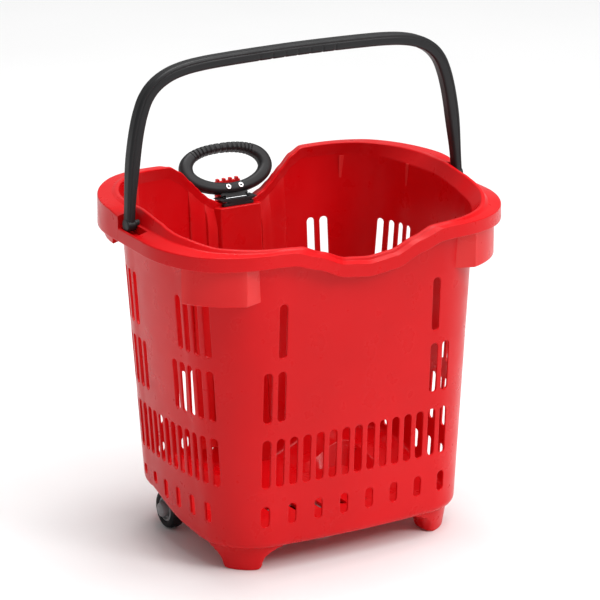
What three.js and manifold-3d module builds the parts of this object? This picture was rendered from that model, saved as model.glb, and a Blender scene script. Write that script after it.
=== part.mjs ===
// Two-wheeled shopping basket: a slotted plastic tub with a folding carry
// handle, a telescopic drawbar in a channel of the rear wall, and two wheels
// on a straight axle.  Millimetres, +Z up, the front faces -Y and the drawbar
// is at +Y.  The origin is on the ground under the middle of the whole object;
// the pieces are laid out from the handle's pivot line, at CENTRE_Y.

import * as THREE from 'three';
import { mergeGeometries, mergeVertices } from 'three/addons/utils/BufferGeometryUtils.js';
import Module from 'manifold-3d';

const wasm = await Module();
wasm.setup();

// ---------------------------------------------------------------- dimensions

const GAP = 0.3;                 // clearance between separate pieces
const CENTRE_Y = -15;            // pivot line of the carry handle, from the origin

// Tub walls: half sizes at the ground plane and their growth with height.
const WALL = {
  halfWidth: 171.5, widthDraft: 0.07,
  frontDepth: 133.5, frontDraft: 0.05,
  rearDepth: 126, rearDraft: 0.072,
  frontRadius: 64, frontGrowth: 0.085,
  rearRadius: 72, rearGrowth: 0.07,
  frontBow: 4, sideBow: 4,
  thickness: 3,
};
const FLOOR_TOP = 38;
const FLOOR_UNDER = 33;
const FLOOR_STEP = 62;           // width of the raised strip over the wheels

// Rim outline and the top edge of the inner lip.
const RIM = { halfWidth: 238, frontDepth: 169, rearDepth: 166, frontRadius: 118, rearRadius: 133,
  frontBow: 4, sideBow: 0 };
const LIP = { halfWidth: 213, frontDepth: 163.5, rearDepth: 153, frontRadius: 108, rearRadius: 114,
  frontBow: 3, sideBow: 0 };
const RIM_THICKNESS = 3;
const STOP_STATION = 2.75;       // place along the side where the rim steps up behind the handle

// Heights around half of the rim, as [station, height].  Station 0 is the
// middle of the front, 1-2 the front corner, 2-3 the side, 3-4 the rear
// corner and 5 the middle of the rear.
const LIP_TOP = [[0, 387], [0.3, 390], [0.6, 401.5], [0.85, 411], [1.1, 412.5], [1.5, 414],
  [1.8, 421], [2.1, 428], [2.6, 434], [3.1, 434], [3.6, 436], [4.05, 433.5],
  [4.2, 425], [4.35, 410], [4.43, 401.5], [4.5, 394], [4.62, 384.5], [4.75, 378], [5, 373]];
const LEDGE = [[0, 380], [0.3, 384], [0.6, 398], [0.85, 407], [1.05, 408], [1.5, 407.5],
  [2, 410], [2.74, 411]];
const SHOULDER = [[2.76, 426], [3.1, 431], [3.6, 434.5], [4.05, 432], [4.2, 424], [4.35, 409],
  [4.43, 400.5], [4.5, 393], [4.62, 383.5], [4.75, 377], [5, 372]];
const SKIRT_BOTTOM = [[0, 364], [0.3, 368], [0.6, 382], [0.85, 391], [1.05, 392], [1.5, 390],
  [2, 393], [2.74, 395], [3.4, 396], [3.8, 399], [4.05, 404], [4.2, 398], [4.35, 385],
  [4.5, 370], [4.62, 360], [4.75, 353], [5, 348]];
const BOTTOM_EDGE = [[0, 30], [2, 31], [2.3, 37], [3, 58], [3.5, 60], [4, 58], [4.4, 40], [4.6, 33], [5, 33]];

// Slots: pitch along the wall, width, and the [top, bottom] of the four rows.
const SLOT_WIDTH = 10.5;
const SLOT_ROWS = [[340, 273], [256, 193], [171, 110], [86, 60]];
const FRONT_PITCH = 17.6;
const SIDE_PITCH = 15.5;
const SIDE_SLOT_WIDTH = 9.5;
const LOWEST_REAR_SLOT = 72;
const FLOOR_SLOT = { pitch: 30, rows: [-44, 4], halfWidth: 4, halfLength: 20 };

// Carry handle.
const PIVOT = { x: 229, y: 0, z: 417 };
const HANDLE_LEAN = THREE.MathUtils.degToRad(1.5);
const HANDLE_PATH = [[0, 184.3], [30, 184.1], [60, 183.7], [92, 183], [123, 181.8], [150, 179],
  [172, 173.3], [190, 163.3], [202.5, 149.5], [210.5, 131.5], [216.3, 110], [220.8, 85],
  [224.5, 55], [227.2, 27], [229, 0]];
const HANDLE_END = { across: 11, deep: 14 };
const HANDLE_BAR = { across: 15, deep: 16 };
const HANDLE_TAPER = 0.09;       // share of the handle's length over which each end widens
const HANDLE_END_RADIUS = 8;
const STUD = { radius: 5, end: 211 };
const STUD_HOLE = { inner: 209.5, outer: 224 };
const POCKET = { inner: 221, outer: 235.3, front: -29, rear: 10.5, floor: 403, top: 460 };
const HOUSING = { inner: 205, side: 1, end: 3, below: 4, top: 413 };

// Drawbar, in its own frame, which leans back with the rear wall.
const DRAWBAR_LEAN = Math.atan(WALL.rearDraft);
const DRAWBAR_Y = WALL.rearDepth + 0.5;
const CHANNEL = { halfWidth: 33, cavityHalfWidth: 23, inner: -14, wall: 3, outer: 11.4, floor: 4,
  bottom: 39, top: 373, mouthRear: 9, mouthTop: 400, coverMargin: 8 };
const SLEEVE = { halfWidth: 19.5, halfDepth: 8.2, wall: 1.7, bottom: 46, top: 362 };
const MIDDLE = { halfWidth: 17.4, halfDepth: 6.1, wall: 1.4, bottom: 62, top: 380 };
const INNER = { halfWidth: 15.5, halfDepth: 4.2, wall: 1.2, bottom: 92, top: 383 };
const COVER = { halfWidth: 33, near: 11.7, far: 14.5, bottom: 42, top: 338 };
const COVER_SCREW_HEIGHTS = [60, 190, 320];
const COVER_SCREW_X = 28;
const SCREW = { headRadius: 3.4, head: 2.2, shankRadius: 1.7, tip: 2, clearance: 2.3, pilot: 2 };
const COVER_RIB = { x: 9, halfWidth: 1.5, proud: 3, margin: 12 };
const COLLAR = { halfWidth: 26, halfDepth: 10, bottom: 376, top: 382.6, rise: 5.8 };
const PLUG = { depth: 22, base: 6, wall: 2, reliefBottom: 6, reliefTop: 16 };
const MIDDLE_PLUG_BORE = { halfWidth: 8, halfDepth: 2.2 };

// Grip loop, in a frame at the top of the inner tube that leans further back.
const GRIP_LEAN = THREE.MathUtils.degToRad(34);
const GRIP = { lift: 11, halfWidth: 55.8, halfHeight: 27.8, deep: 8, lowerPower: 1.04, upperPower: 0.84,
  lower: 7, side: 9, upper: 6 };
const STEM = { halfWidth: 18, halfDepth: 2.2, bottom: 1.9, aboveRivets: 4.5, plug: 34 };
const RIVET = { x: 8.8, hole: 2, seat: 4, seatDepth: 1.2, head: 3.5, shank: 1.7, bore: 0.8, rim: 0.9 };

// Wheels and axle.
const WHEEL = { y: 61, radius: 24.5, inner: 137.5, outer: 156.5, hubRadius: 15.5 };
const AXLE_RADIUS = 3;
const AXLE_END = 159.7;
const AXLE_CLEARANCE = 0.4;
const WASHER = { radius: 7, thickness: 1.2, play: 0.4 };
const CAP_OVERLAP = 3;           // how far the axle caps reach over the hubs
const BRACKET = { inner: 123.5, outer: 135, halfDepth: 13, bottom: 14, top: 61 };

// Feet.
const FOOT = { x: 135.5, y: -101 };
const FOOT_PROFILE = [[0, 17], [2, 20], [9, 22], [16, 25], [22, 31], [27, 41], [31, 54], [35, 60]];
const FOOT_TRIM = [[-1, 14], [27, 9.6], [36, 9.4]];
const FOOT_SQUARENESS = 3.2;

// Stacking lugs under the rim, by station and height.
const LUGS = [[1.22, 1.68, 346, 392], [3.05, 3.7, 383, 408]];
const LUG = { outset: -8, wall: 3, roof: 4, sideShare: 0.03, level: 360 };

// Ribbed block on the rear rim behind the grip.
const REAR_BLOCK = { halfWidth: 18, footFront: 164.6, front: 172.2, rear: 176.4, bottom: 350, step: 381,
  top: 398, ribFront: 171.8, ribRear: 177, ribBottom: 385, ribTop: 401, ribHalf: 2, ribs: [-14, -5, 4, 13] };

// ----------------------------------------------------------------- materials

const LOOKS = {
  tub: [0xd90a16, 0.32, 0],
  cover: [0xc40812, 0.4, 0],
  black: [0x242424, 0.5, 0],
  tyre: [0x1c1c1c, 0.85, 0],
  hub: [0x8c8f92, 0.45, 0],
  metal: [0xb8bcc0, 0.35, 0.9],
  rivet: [0xe6e6e6, 0.4, 0.2],
};

function material(look) {
  const [color, roughness, metalness] = LOOKS[look];
  return new THREE.MeshStandardMaterial({ color, roughness, metalness });
}

// ------------------------------------------------------------- solid helpers

function toSolid(geometry) {
  const bare = geometry.clone();
  bare.deleteAttribute('normal');
  bare.deleteAttribute('uv');
  const merged = mergeVertices(bare, 1e-4);
  const vertProperties = new Float32Array(merged.attributes.position.array);
  const triVerts = new Uint32Array(merged.index.array);
  const solid = new wasm.Manifold(new wasm.Mesh({ numProp: 3, vertProperties, triVerts }));
  if (solid.volume() > 0) return solid;
  triVerts.reverse();
  return new wasm.Manifold(new wasm.Mesh({ numProp: 3, vertProperties, triVerts }));
}

function toGeometry(solid) {
  const mesh = solid.getMesh();
  const geometry = new THREE.BufferGeometry();
  geometry.setAttribute('position', new THREE.BufferAttribute(mesh.vertProperties, 3));
  geometry.setIndex(new THREE.BufferAttribute(mesh.triVerts, 1));
  return geometry;
}

// Surface through rows of points.  Each row is a closed ring; the ends are
// closed by fans unless the rows themselves close on each other.
function loft(rows, wrap = false) {
  const count = rows[0].length;
  const points = rows.flat();
  const index = [];
  const spans = wrap ? rows.length : rows.length - 1;
  for (let r = 0; r < spans; r += 1) {
    const low = r * count;
    const high = ((r + 1) % rows.length) * count;
    for (let i = 0; i < count; i += 1) {
      const j = (i + 1) % count;
      index.push(low + i, low + j, high + j, low + i, high + j, high + i);
    }
  }
  if (!wrap) {
    closeEnd(points, index, 0, count, true);
    closeEnd(points, index, (rows.length - 1) * count, count, false);
  }
  const geometry = new THREE.BufferGeometry().setFromPoints(points);
  geometry.setIndex(index);
  return geometry;
}

function closeEnd(points, index, start, count, first) {
  const centre = new THREE.Vector3();
  for (let i = 0; i < count; i += 1) centre.add(points[start + i]);
  points.push(centre.divideScalar(count));
  const middle = points.length - 1;
  for (let i = 0; i < count; i += 1) {
    const j = (i + 1) % count;
    if (first) index.push(middle, start + j, start + i);
    else index.push(middle, start + i, start + j);
  }
}

function box(x0, x1, y0, y1, z0, z1) {
  const geometry = new THREE.BoxGeometry(x1 - x0, y1 - y0, z1 - z0);
  geometry.translate((x0 + x1) / 2, (y0 + y1) / 2, (z0 + z1) / 2);
  return geometry;
}

// Cylinder along X from x0 to x1.
function rod(radius, x0, x1, y, z, sides = 16) {
  const geometry = new THREE.CylinderGeometry(radius, radius, Math.abs(x1 - x0), sides);
  geometry.rotateZ(Math.PI / 2);
  geometry.translate((x0 + x1) / 2, y, z);
  return geometry;
}

// Cylinder along Y from y0 to y1.
function pin(radius, x, y0, y1, z, sides = 12) {
  const geometry = new THREE.CylinderGeometry(radius, radius, Math.abs(y1 - y0), sides);
  geometry.translate(x, (y0 + y1) / 2, z);
  return geometry;
}

function unite(solids) {
  return solids.reduce((sum, next) => sum.add(next));
}

function smoothstep(t) {
  return t * t * (3 - 2 * t);
}

// Height at a station, eased between the listed points.
function heightAt(table, station) {
  if (station <= table[0][0]) return table[0][1];
  for (let i = 1; i < table.length; i += 1) {
    const [s0, h0] = table[i - 1];
    const [s1, h1] = table[i];
    if (station <= s1) {
      const t = (station - s0) / (s1 - s0);
      return h0 + (h1 - h0) * (0.5 * t + 0.5 * smoothstep(t));
    }
  }
  return table[table.length - 1][1];
}

// ------------------------------------------------------------------ tub shell

// Point on a rounded, slightly bowed rectangle at a station of its right half.
function outline(station, size) {
  const { halfWidth, frontDepth, rearDepth, frontRadius, rearRadius, frontBow, sideBow } = size;
  const turn = (station % 1) * Math.PI / 2;
  if (station <= 1) {
    return [station * (halfWidth - frontRadius), -frontDepth - frontBow * (1 - station * station)];
  }
  if (station < 2) {
    return [halfWidth - frontRadius + frontRadius * Math.sin(turn),
      frontRadius - frontDepth - frontRadius * Math.cos(turn)];
  }
  if (station <= 3) {
    const u = station - 2;
    return [halfWidth + sideBow * (1 - (2 * u - 1) ** 2),
      THREE.MathUtils.lerp(frontRadius - frontDepth, rearDepth - rearRadius, u)];
  }
  if (station < 4) {
    return [halfWidth - rearRadius + rearRadius * Math.cos(turn),
      rearDepth - rearRadius + rearRadius * Math.sin(turn)];
  }
  return [(5 - station) * (halfWidth - rearRadius), rearDepth];
}

function wallSize(z, inset = 0) {
  return {
    halfWidth: WALL.halfWidth + WALL.widthDraft * z - inset,
    frontDepth: WALL.frontDepth + WALL.frontDraft * z - inset,
    rearDepth: WALL.rearDepth + WALL.rearDraft * z - inset,
    frontRadius: Math.max(WALL.frontRadius + WALL.frontGrowth * z - inset, 12),
    rearRadius: Math.max(WALL.rearRadius + WALL.rearGrowth * z - inset, 12),
    frontBow: WALL.frontBow,
    sideBow: WALL.sideBow,
  };
}

function grown(size, amount) {
  const result = { ...size };
  for (const key of ['halfWidth', 'frontDepth', 'rearDepth', 'frontRadius', 'rearRadius']) {
    result[key] += amount;
  }
  return result;
}

function mixed(sizeA, sizeB, t) {
  const result = {};
  for (const key of Object.keys(sizeA)) {
    result[key] = THREE.MathUtils.lerp(sizeA[key], sizeB[key], t);
  }
  return result;
}

function span(from, to, steps) {
  return Array.from({ length: steps }, (_, i) => from + (to - from) * i / steps);
}

const STATIONS = [
  0, 0.2, 0.35, 0.5, 0.65, 0.78, 0.9, ...span(1, 2, 6), 2, 2.3, 2.6,
  STOP_STATION - 0.01, STOP_STATION + 0.01, ...span(3, 4, 6), 4, 4.1, 4.2, 4.28, 4.36, 4.44, 4.52, 4.62, 4.74, 5,
];

// A full ring: the right half of the stations, then their mirror images.
function ring(place) {
  const right = STATIONS.map((station) => place(station));
  const left = STATIONS.slice(1, -1).reverse().map((station) => {
    const point = place(station);
    return new THREE.Vector3(-point.x, point.y, point.z);
  });
  return [...right, ...left];
}

function sizedRing(sizeAt, heightOf) {
  return ring((station) => {
    const z = heightOf(station);
    const [x, y] = outline(station, sizeAt(station, z));
    return new THREE.Vector3(x, y, z);
  });
}

function ledgeAt(station) {
  return station < STOP_STATION ? heightAt(LEDGE, station) : heightAt(SHOULDER, station);
}

const lipTopAt = (station) => heightAt(LIP_TOP, station);
const skirtBottomAt = (station) => heightAt(SKIRT_BOTTOM, station);
const bottomEdgeAt = (station) => heightAt(BOTTOM_EDGE, station);

// The ledge rises a little from the rim's outer edge towards the lip.
function ledgeRiseAt(station) {
  return Math.min(6, 0.4 * (lipTopAt(station) - ledgeAt(station)));
}

function outerWallRow(share) {
  return sizedRing(
    (_, z) => wallSize(z),
    (s) => THREE.MathUtils.lerp(bottomEdgeAt(s) + 14, ledgeAt(s) - 5, share),
  );
}

function innerWallRow(share) {
  return sizedRing(
    (_, z) => wallSize(z, WALL.thickness),
    (s) => THREE.MathUtils.lerp(ledgeAt(s) - 7, floorHeight(s) + 16, share),
  );
}

function floorHeight(station) {
  return bottomEdgeAt(station) + FLOOR_TOP - FLOOR_UNDER;
}

function bottomEdgeRow(inset, rise) {
  return sizedRing((s) => wallSize(bottomEdgeAt(s) + rise, inset), (s) => bottomEdgeAt(s) + rise);
}

function tubShell() {
  const under = FLOOR_STEP;
  const rows = [
    sizedRing(() => wallSize(40, under + 16), () => FLOOR_UNDER),
    sizedRing(() => wallSize(40, under), (s) => bottomEdgeAt(s)),
    bottomEdgeRow(12, 0),
    bottomEdgeRow(5, 2),
    bottomEdgeRow(1.4, 7),
    ...[0, 1].map(outerWallRow),
    sizedRing(() => grown(RIM, -RIM_THICKNESS), (s) => ledgeAt(s) - 4),
    sizedRing(() => grown(RIM, -RIM_THICKNESS + 0.4), skirtBottomAt),
    sizedRing(() => grown(RIM, 0.4), skirtBottomAt),
    sizedRing(() => RIM, (s) => ledgeAt(s) - 2),
    sizedRing(() => grown(RIM, -1.6), ledgeAt),
    sizedRing(() => mixed(LIP, RIM, 0.2), (s) => ledgeAt(s) + ledgeRiseAt(s)),
    sizedRing(() => LIP, (s) => lipTopAt(s) - 1),
    sizedRing(() => grown(LIP, -2), lipTopAt),
    sizedRing(() => grown(LIP, -4), (s) => lipTopAt(s) - 1.4),
    ...[0, 1].map(innerWallRow),
    sizedRing((s) => wallSize(floorHeight(s) + 4, 6), (s) => floorHeight(s) + 4),
    sizedRing((s) => wallSize(floorHeight(s), 14), floorHeight),
    sizedRing(() => wallSize(40, under - 4), floorHeight),
    sizedRing(() => wallSize(40, under + 12), () => FLOOR_TOP),
  ];
  return toSolid(loft(rows));
}

// A solid band that follows the tub's outline between two stations.
function band(outerSize, innerSize, from, to, z0, z1, mirror) {
  const steps = 6;
  const sections = [];
  for (let i = 0; i <= steps; i += 1) {
    const station = from + (to - from) * i / steps;
    const [xo, yo] = outline(station, outerSize);
    const [xi, yi] = outline(station, innerSize);
    sections.push([
      new THREE.Vector3(mirror * xo, yo, z0), new THREE.Vector3(mirror * xo, yo, z1),
      new THREE.Vector3(mirror * xi, yi, z1), new THREE.Vector3(mirror * xi, yi, z0),
    ]);
  }
  if (mirror < 0) sections.reverse();
  return toSolid(loft(sections));
}

// Stacking lugs: boxes under the rim that wrap the corners, open below.
function stackingLug(from, to, bottom, top, mirror) {
  const shell = band(grown(RIM, LUG.outset), wallSize(LUG.level, 1), from, to, bottom, top, mirror);
  const shrink = LUG.sideShare * (to - from);
  const hollow = band(grown(RIM, LUG.outset - LUG.wall), wallSize(LUG.level, -1), from + shrink, to - shrink,
    bottom - LUG.wall, top - LUG.roof, mirror);
  return shell.subtract(hollow);
}

// ---------------------------------------------------------------- tub details

// Upright prism that cuts one slot through a wall; across and through are its
// half sizes along X and Y.
function slotCutter(x, y, across, through, top, bottom) {
  return box(x - across, x + across, y - through, y + through, bottom, top);
}

const column = (k) => (k - 8) * FRONT_PITCH;
const sideColumn = (k) => (k - 6.5) * SIDE_PITCH;

const FRONT_COLUMNS = [[2, 14], [1, 2, 14, 15], span(1, 16, 15), [1, 3, 5, 7, 9, 11, 13, 15]];
const REAR_COLUMNS = [[1, 2, 14, 15], [1, 2, 14, 15], [1, 2, 3, 4, 5, 11, 12, 13, 14, 15], [1, 3, 5, 11, 13, 15]];
const SIDE_COLUMNS = [
  [0, 1, 2, 3, 10, 11, 12, 13], [0, 1, 2, 3, 4, 9, 10, 11, 12, 13], span(0, 14, 14), [1, 3, 5, 7, 9, 11]];

// Wall positions and depths that the cutters straddle.
const SLOT_REACH = { frontY: 135, sideX: 175, through: 35, sideThrough: 50 };

function slots() {
  const half = SLOT_WIDTH / 2;
  const { frontY, sideX, through, sideThrough } = SLOT_REACH;
  const cutters = [];
  SLOT_ROWS.forEach(([top, bottom], row) => {
    for (const k of FRONT_COLUMNS[row]) {
      cutters.push(slotCutter(column(k), -frontY, half, through, top, bottom));
    }
    for (const k of REAR_COLUMNS[row]) {
      cutters.push(slotCutter(column(k), frontY, half, through, top, Math.max(bottom, LOWEST_REAR_SLOT)));
    }
    for (const k of SIDE_COLUMNS[row]) {
      const low = Math.max(bottom, LOWEST_REAR_SLOT + 0.1 * Math.min(sideColumn(k), 0));
      for (const x of [-sideX, sideX]) {
        cutters.push(slotCutter(x, sideColumn(k), sideThrough, SIDE_SLOT_WIDTH / 2, top, low));
      }
    }
  });
  return toSolid(mergeGeometries(cutters));
}

// Drain slots through the flat middle of the floor.
function floorSlots() {
  const cutters = [];
  for (let i = -2; i <= 2; i += 1) {
    for (const y of FLOOR_SLOT.rows) {
      cutters.push(slotCutter(i * FLOOR_SLOT.pitch, y, FLOOR_SLOT.halfWidth, FLOOR_SLOT.halfLength,
        FLOOR_TOP + 10, FLOOR_UNDER - 10));
    }
  }
  return toSolid(mergeGeometries(cutters));
}

// Square-ish ring with rounded corners, centred on a point.
function roundedRing(cx, cy, z, half, sides = 16) {
  return Array.from({ length: sides }, (_, i) => {
    const angle = 2 * Math.PI * i / sides;
    const c = Math.cos(angle);
    const s = Math.sin(angle);
    const stretch = half / (Math.abs(c) ** FOOT_SQUARENESS + Math.abs(s) ** FOOT_SQUARENESS) ** (1 / FOOT_SQUARENESS);
    return new THREE.Vector3(cx + stretch * c, cy + stretch * s, z);
  });
}

// Flared foot, trimmed to the tub's outline so its outer face carries on the corner.
function foot(side) {
  const rows = FOOT_PROFILE.map(([z, half]) => roundedRing(side * FOOT.x, FOOT.y, z, half));
  const trim = FOOT_TRIM.map(([z, inset]) => sizedRing(() => wallSize(z, inset), () => z));
  return toSolid(loft(rows)).intersect(toSolid(loft(trim)));
}

// Axle bracket under the raised strip beside each wheel.
function axleBracket(side) {
  const [x0, x1] = side > 0 ? [BRACKET.inner, BRACKET.outer] : [-BRACKET.outer, -BRACKET.inner];
  const { halfDepth, bottom, top } = BRACKET;
  const plate = box(x0, x1, WHEEL.y - halfDepth, WHEEL.y + halfDepth, bottom, top);
  return toSolid(plate);
}

function leaning(geometry) {
  return geometry.rotateX(-DRAWBAR_LEAN).translate(0, DRAWBAR_Y, 0);
}

function channelBody() {
  const { halfWidth, inner, outer, bottom, top, floor } = CHANNEL;
  return toSolid(leaning(box(-halfWidth, halfWidth, inner, outer, bottom - floor, top)));
}

function channelCavity() {
  const { cavityHalfWidth: half, inner, wall, bottom, outer, mouthRear, mouthTop, coverMargin } = CHANNEL;
  const cavity = box(-half, half, inner + wall, 2 * outer, bottom, COVER.top - coverMargin);
  const upper = box(-half, half, inner + wall, mouthRear, bottom, mouthTop);
  return toSolid(leaning(cavity)).add(toSolid(leaning(upper)));
}

// Ribbed block that stands on the rear rim behind the grip.
function rearBlock() {
  const { halfWidth, footFront, front, rear, bottom, step, top } = REAR_BLOCK;
  const { ribFront, ribRear, ribBottom, ribTop, ribHalf, ribs } = REAR_BLOCK;
  const base = toSolid(box(-halfWidth, halfWidth, footFront, rear, bottom, step));
  const body = toSolid(box(-halfWidth, halfWidth, front, rear, step - 1, top));
  const fins = ribs.map((x) => toSolid(box(x - ribHalf, x + ribHalf, ribFront, ribRear, ribBottom, ribTop)));
  return unite([base, body, ...fins]);
}

function handlePocket(side) {
  const x0 = side > 0 ? POCKET.inner : -POCKET.outer;
  const x1 = side > 0 ? POCKET.outer : -POCKET.inner;
  return toSolid(box(x0, x1, POCKET.front, POCKET.rear, POCKET.floor, POCKET.top));
}

// Floor and walls that close the pocket below the ledge.
function pocketHousing(side) {
  const x0 = side > 0 ? HOUSING.inner : -POCKET.outer - HOUSING.side;
  const x1 = side > 0 ? POCKET.outer + HOUSING.side : -HOUSING.inner;
  return toSolid(box(x0, x1, POCKET.front - HOUSING.end, POCKET.rear + HOUSING.end,
    POCKET.floor - HOUSING.below, HOUSING.top));
}

function studHole(side) {
  const { inner, outer } = STUD_HOLE;
  return toSolid(rod(STUD.radius + GAP, side * inner, side * outer, PIVOT.y, PIVOT.z));
}

function screwHoles(radius) {
  const holes = [];
  for (const z of COVER_SCREW_HEIGHTS) {
    for (const side of [-1, 1]) {
      holes.push(pin(radius, side * COVER_SCREW_X, 0, 2 * COVER.far, z));
    }
  }
  return toSolid(leaning(mergeGeometries(holes)));
}

function basketTub() {
  let tub = tubShell().subtract(slots()).subtract(floorSlots());
  const additions = [channelBody(), rearBlock()];
  for (const side of [-1, 1]) {
    for (const [from, to, bottom, top] of LUGS) additions.push(stackingLug(from, to, bottom, top, side));
    additions.push(foot(side), axleBracket(side), pocketHousing(side));
  }
  tub = tub.add(unite(additions));
  tub = tub.subtract(channelCavity()).subtract(screwHoles(SCREW.pilot));
  for (const side of [-1, 1]) tub = tub.subtract(handlePocket(side)).subtract(studHole(side));
  const reach = BRACKET.outer + 5;
  const axleHole = toSolid(rod(AXLE_RADIUS + AXLE_CLEARANCE, -reach, reach, WHEEL.y, WHEEL.radius));
  return toGeometry(tub.subtract(axleHole).simplify(0.03));
}

// --------------------------------------------------------------- carry handle

// Rounded rectangle section with the given half sizes, in (across, deep).
function sectionPoints(halfAcross, halfDeep) {
  const r = Math.min(halfAcross, halfDeep) * 0.55;
  const corners = [[1, 1, 0], [-1, 1, 90], [-1, -1, 180], [1, -1, 270]];
  return corners.flatMap(([sx, sy, start]) => [0, 45, 90].map((turn) => {
    const angle = THREE.MathUtils.degToRad(start + turn);
    return [sx * (halfAcross - r) + r * Math.cos(angle), sy * (halfDeep - r) + r * Math.sin(angle)];
  }));
}

// Solid swept along points in the XZ plane, with a section that may vary.
function sweepXZ(points, sectionAt) {
  const rows = points.map((point, i) => {
    const before = points[Math.max(i - 1, 0)];
    const after = points[Math.min(i + 1, points.length - 1)];
    const tangent = after.clone().sub(before).normalize();
    const across = new THREE.Vector2(tangent.y, -tangent.x);
    return sectionAt(i / (points.length - 1)).map(([u, v]) => new THREE.Vector3(
      point.x + across.x * u, v, point.y + across.y * u));
  });
  return loft(rows);
}

function carryHandle() {
  const right = HANDLE_PATH.map(([x, z]) => new THREE.Vector2(x, z));
  const left = right.slice(1).reverse().map((p) => new THREE.Vector2(-p.x, p.y));
  const curve = new THREE.SplineCurve([...left, ...right]);
  const points = curve.getSpacedPoints(56);
  const sweep = sweepXZ(points, (t) => {
    const bar = smoothstep(THREE.MathUtils.clamp((0.48 - Math.abs(t - 0.5)) / HANDLE_TAPER, 0, 1));
    const across = THREE.MathUtils.lerp(HANDLE_END.across, HANDLE_BAR.across, bar);
    const deep = THREE.MathUtils.lerp(HANDLE_END.deep, HANDLE_BAR.deep, bar);
    return sectionPoints(across / 2, deep / 2);
  });
  const half = HANDLE_END.across / 2;
  const solids = [toSolid(sweep)];
  for (const side of [-1, 1]) {
    solids.push(toSolid(rod(HANDLE_END_RADIUS, side * (PIVOT.x - half), side * (PIVOT.x + half), 0, 0, 20)));
    solids.push(toSolid(rod(STUD.radius, side * STUD.end, side * PIVOT.x, 0, 0)));
  }
  return toGeometry(unite(solids));
}

// -------------------------------------------------------------------- drawbar

function flatTube({ halfWidth: a, halfDepth: b, wall, bottom, top }) {
  const outer = toSolid(box(-a, a, -b, b, bottom, top));
  const bore = toSolid(box(-a + wall, a - wall, -b + wall, b - wall, bottom - 1, top + 1));
  return outer.subtract(bore);
}

function rearCover() {
  const { halfWidth, near, far, bottom, top } = COVER;
  const plate = toSolid(box(-halfWidth, halfWidth, near, far, bottom, top));
  const { halfWidth: half, proud, margin } = COVER_RIB;
  const ribs = [-COVER_RIB.x, COVER_RIB.x].map((x) => toSolid(
    box(x - half, x + half, far - 0.5, far + proud, bottom + margin, top - margin)));
  const holes = [];
  for (const z of COVER_SCREW_HEIGHTS) {
    for (const side of [-1, 1]) holes.push(toSolid(pin(SCREW.clearance, side * COVER_SCREW_X, 0, 2 * far, z)));
  }
  return toGeometry(unite([plate, ...ribs]).subtract(unite(holes)));
}

function coverScrew() {
  const { headRadius, head, shankRadius, tip } = SCREW;
  const seat = COVER.far + GAP;
  const top = toSolid(pin(headRadius, 0, seat, seat + head, 0));
  const shank = toSolid(pin(shankRadius, 0, tip, seat + 0.5, 0, 8));
  const recess = toSolid(box(-0.5, 0.5, seat + head / 2, seat + 2 * head, -2.2, 2.2));
  return toGeometry(top.add(shank).subtract(recess));
}

// Collar around the tubes, flat on top, its underside curved to follow the dip of the rear rim.
function guideCollar() {
  const { halfWidth: a, halfDepth: b, bottom, top, rise } = COLLAR;
  const shape = new THREE.Shape();
  shape.moveTo(-a, bottom + rise);
  shape.quadraticCurveTo(-a * 0.5, bottom, 0, bottom);
  shape.quadraticCurveTo(a * 0.5, bottom, a, bottom + rise);
  shape.lineTo(a, top);
  shape.lineTo(-a, top);
  const block = new THREE.ExtrudeGeometry(shape, { depth: 2 * b, bevelEnabled: false, curveSegments: 5 });
  block.rotateX(Math.PI / 2).translate(0, b, 0);
  const hole = box(-MIDDLE.halfWidth - GAP, MIDDLE.halfWidth + GAP,
    -MIDDLE.halfDepth - GAP, MIDDLE.halfDepth + GAP, bottom - 5, top + 5);
  return toGeometry(toSolid(block).subtract(toSolid(hole)));
}

// Guide plug that fits a tube's lower end and keeps it in the next tube.
function plugBody(tube) {
  const a = tube.halfWidth - tube.wall - GAP;
  const b = tube.halfDepth - tube.wall - GAP;
  const inside = toSolid(box(-a, a, -b, b, tube.bottom - 0.5, tube.bottom + PLUG.depth));
  const base = toSolid(box(-tube.halfWidth, tube.halfWidth, -tube.halfDepth, tube.halfDepth,
    tube.bottom - PLUG.base, tube.bottom - GAP));
  return inside.add(base);
}

// The middle tube's plug is a ring, so that the inner tube can pass down inside it.
function middlePlug() {
  const { halfWidth: a, halfDepth: b } = MIDDLE_PLUG_BORE;
  const bore = box(-a, a, -b, b, MIDDLE.bottom - 2 * PLUG.base, MIDDLE.bottom + 2 * PLUG.depth);
  return toGeometry(plugBody(MIDDLE).subtract(toSolid(bore)));
}

// The inner tube's plug is relieved in the middle so that its wall can flex.
function innerPlug() {
  const a = INNER.halfWidth - INNER.wall - GAP - PLUG.wall;
  const relief = box(-a, a, -INNER.halfDepth, INNER.halfDepth,
    INNER.bottom + PLUG.reliefBottom, INNER.bottom + PLUG.reliefTop);
  return toGeometry(plugBody(INNER).subtract(toSolid(relief)));
}

// ----------------------------------------------------------------------- grip

// Points of the loop's centre line, starting at the lower bar.
function loopPoint(t) {
  const angle = 2 * Math.PI * t - Math.PI / 2;
  const c = Math.cos(angle);
  const s = Math.sin(angle);
  const power = s < 0 ? GRIP.lowerPower : GRIP.upperPower;
  return new THREE.Vector2(
    GRIP.halfWidth * Math.sign(c) * Math.abs(c) ** power,
    GRIP.lift + GRIP.halfHeight * (1 + Math.sign(s) * Math.abs(s) ** power));
}

// Half width of the loop's section in its plane: slim on top, widest at the sides.
function gripAcross(t) {
  const s = Math.sin(2 * Math.PI * t - Math.PI / 2);
  return THREE.MathUtils.lerp(GRIP.side, s < 0 ? GRIP.lower : GRIP.upper, s * s);
}

// Section of a half shell, as [across, depth] shares of its half sizes.
const GRIP_SECTION = [[-1, 0.02], [-1, 0.4], [-0.6, 0.95], [0.6, 0.95], [1, 0.4], [1, 0.02]];

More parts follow.
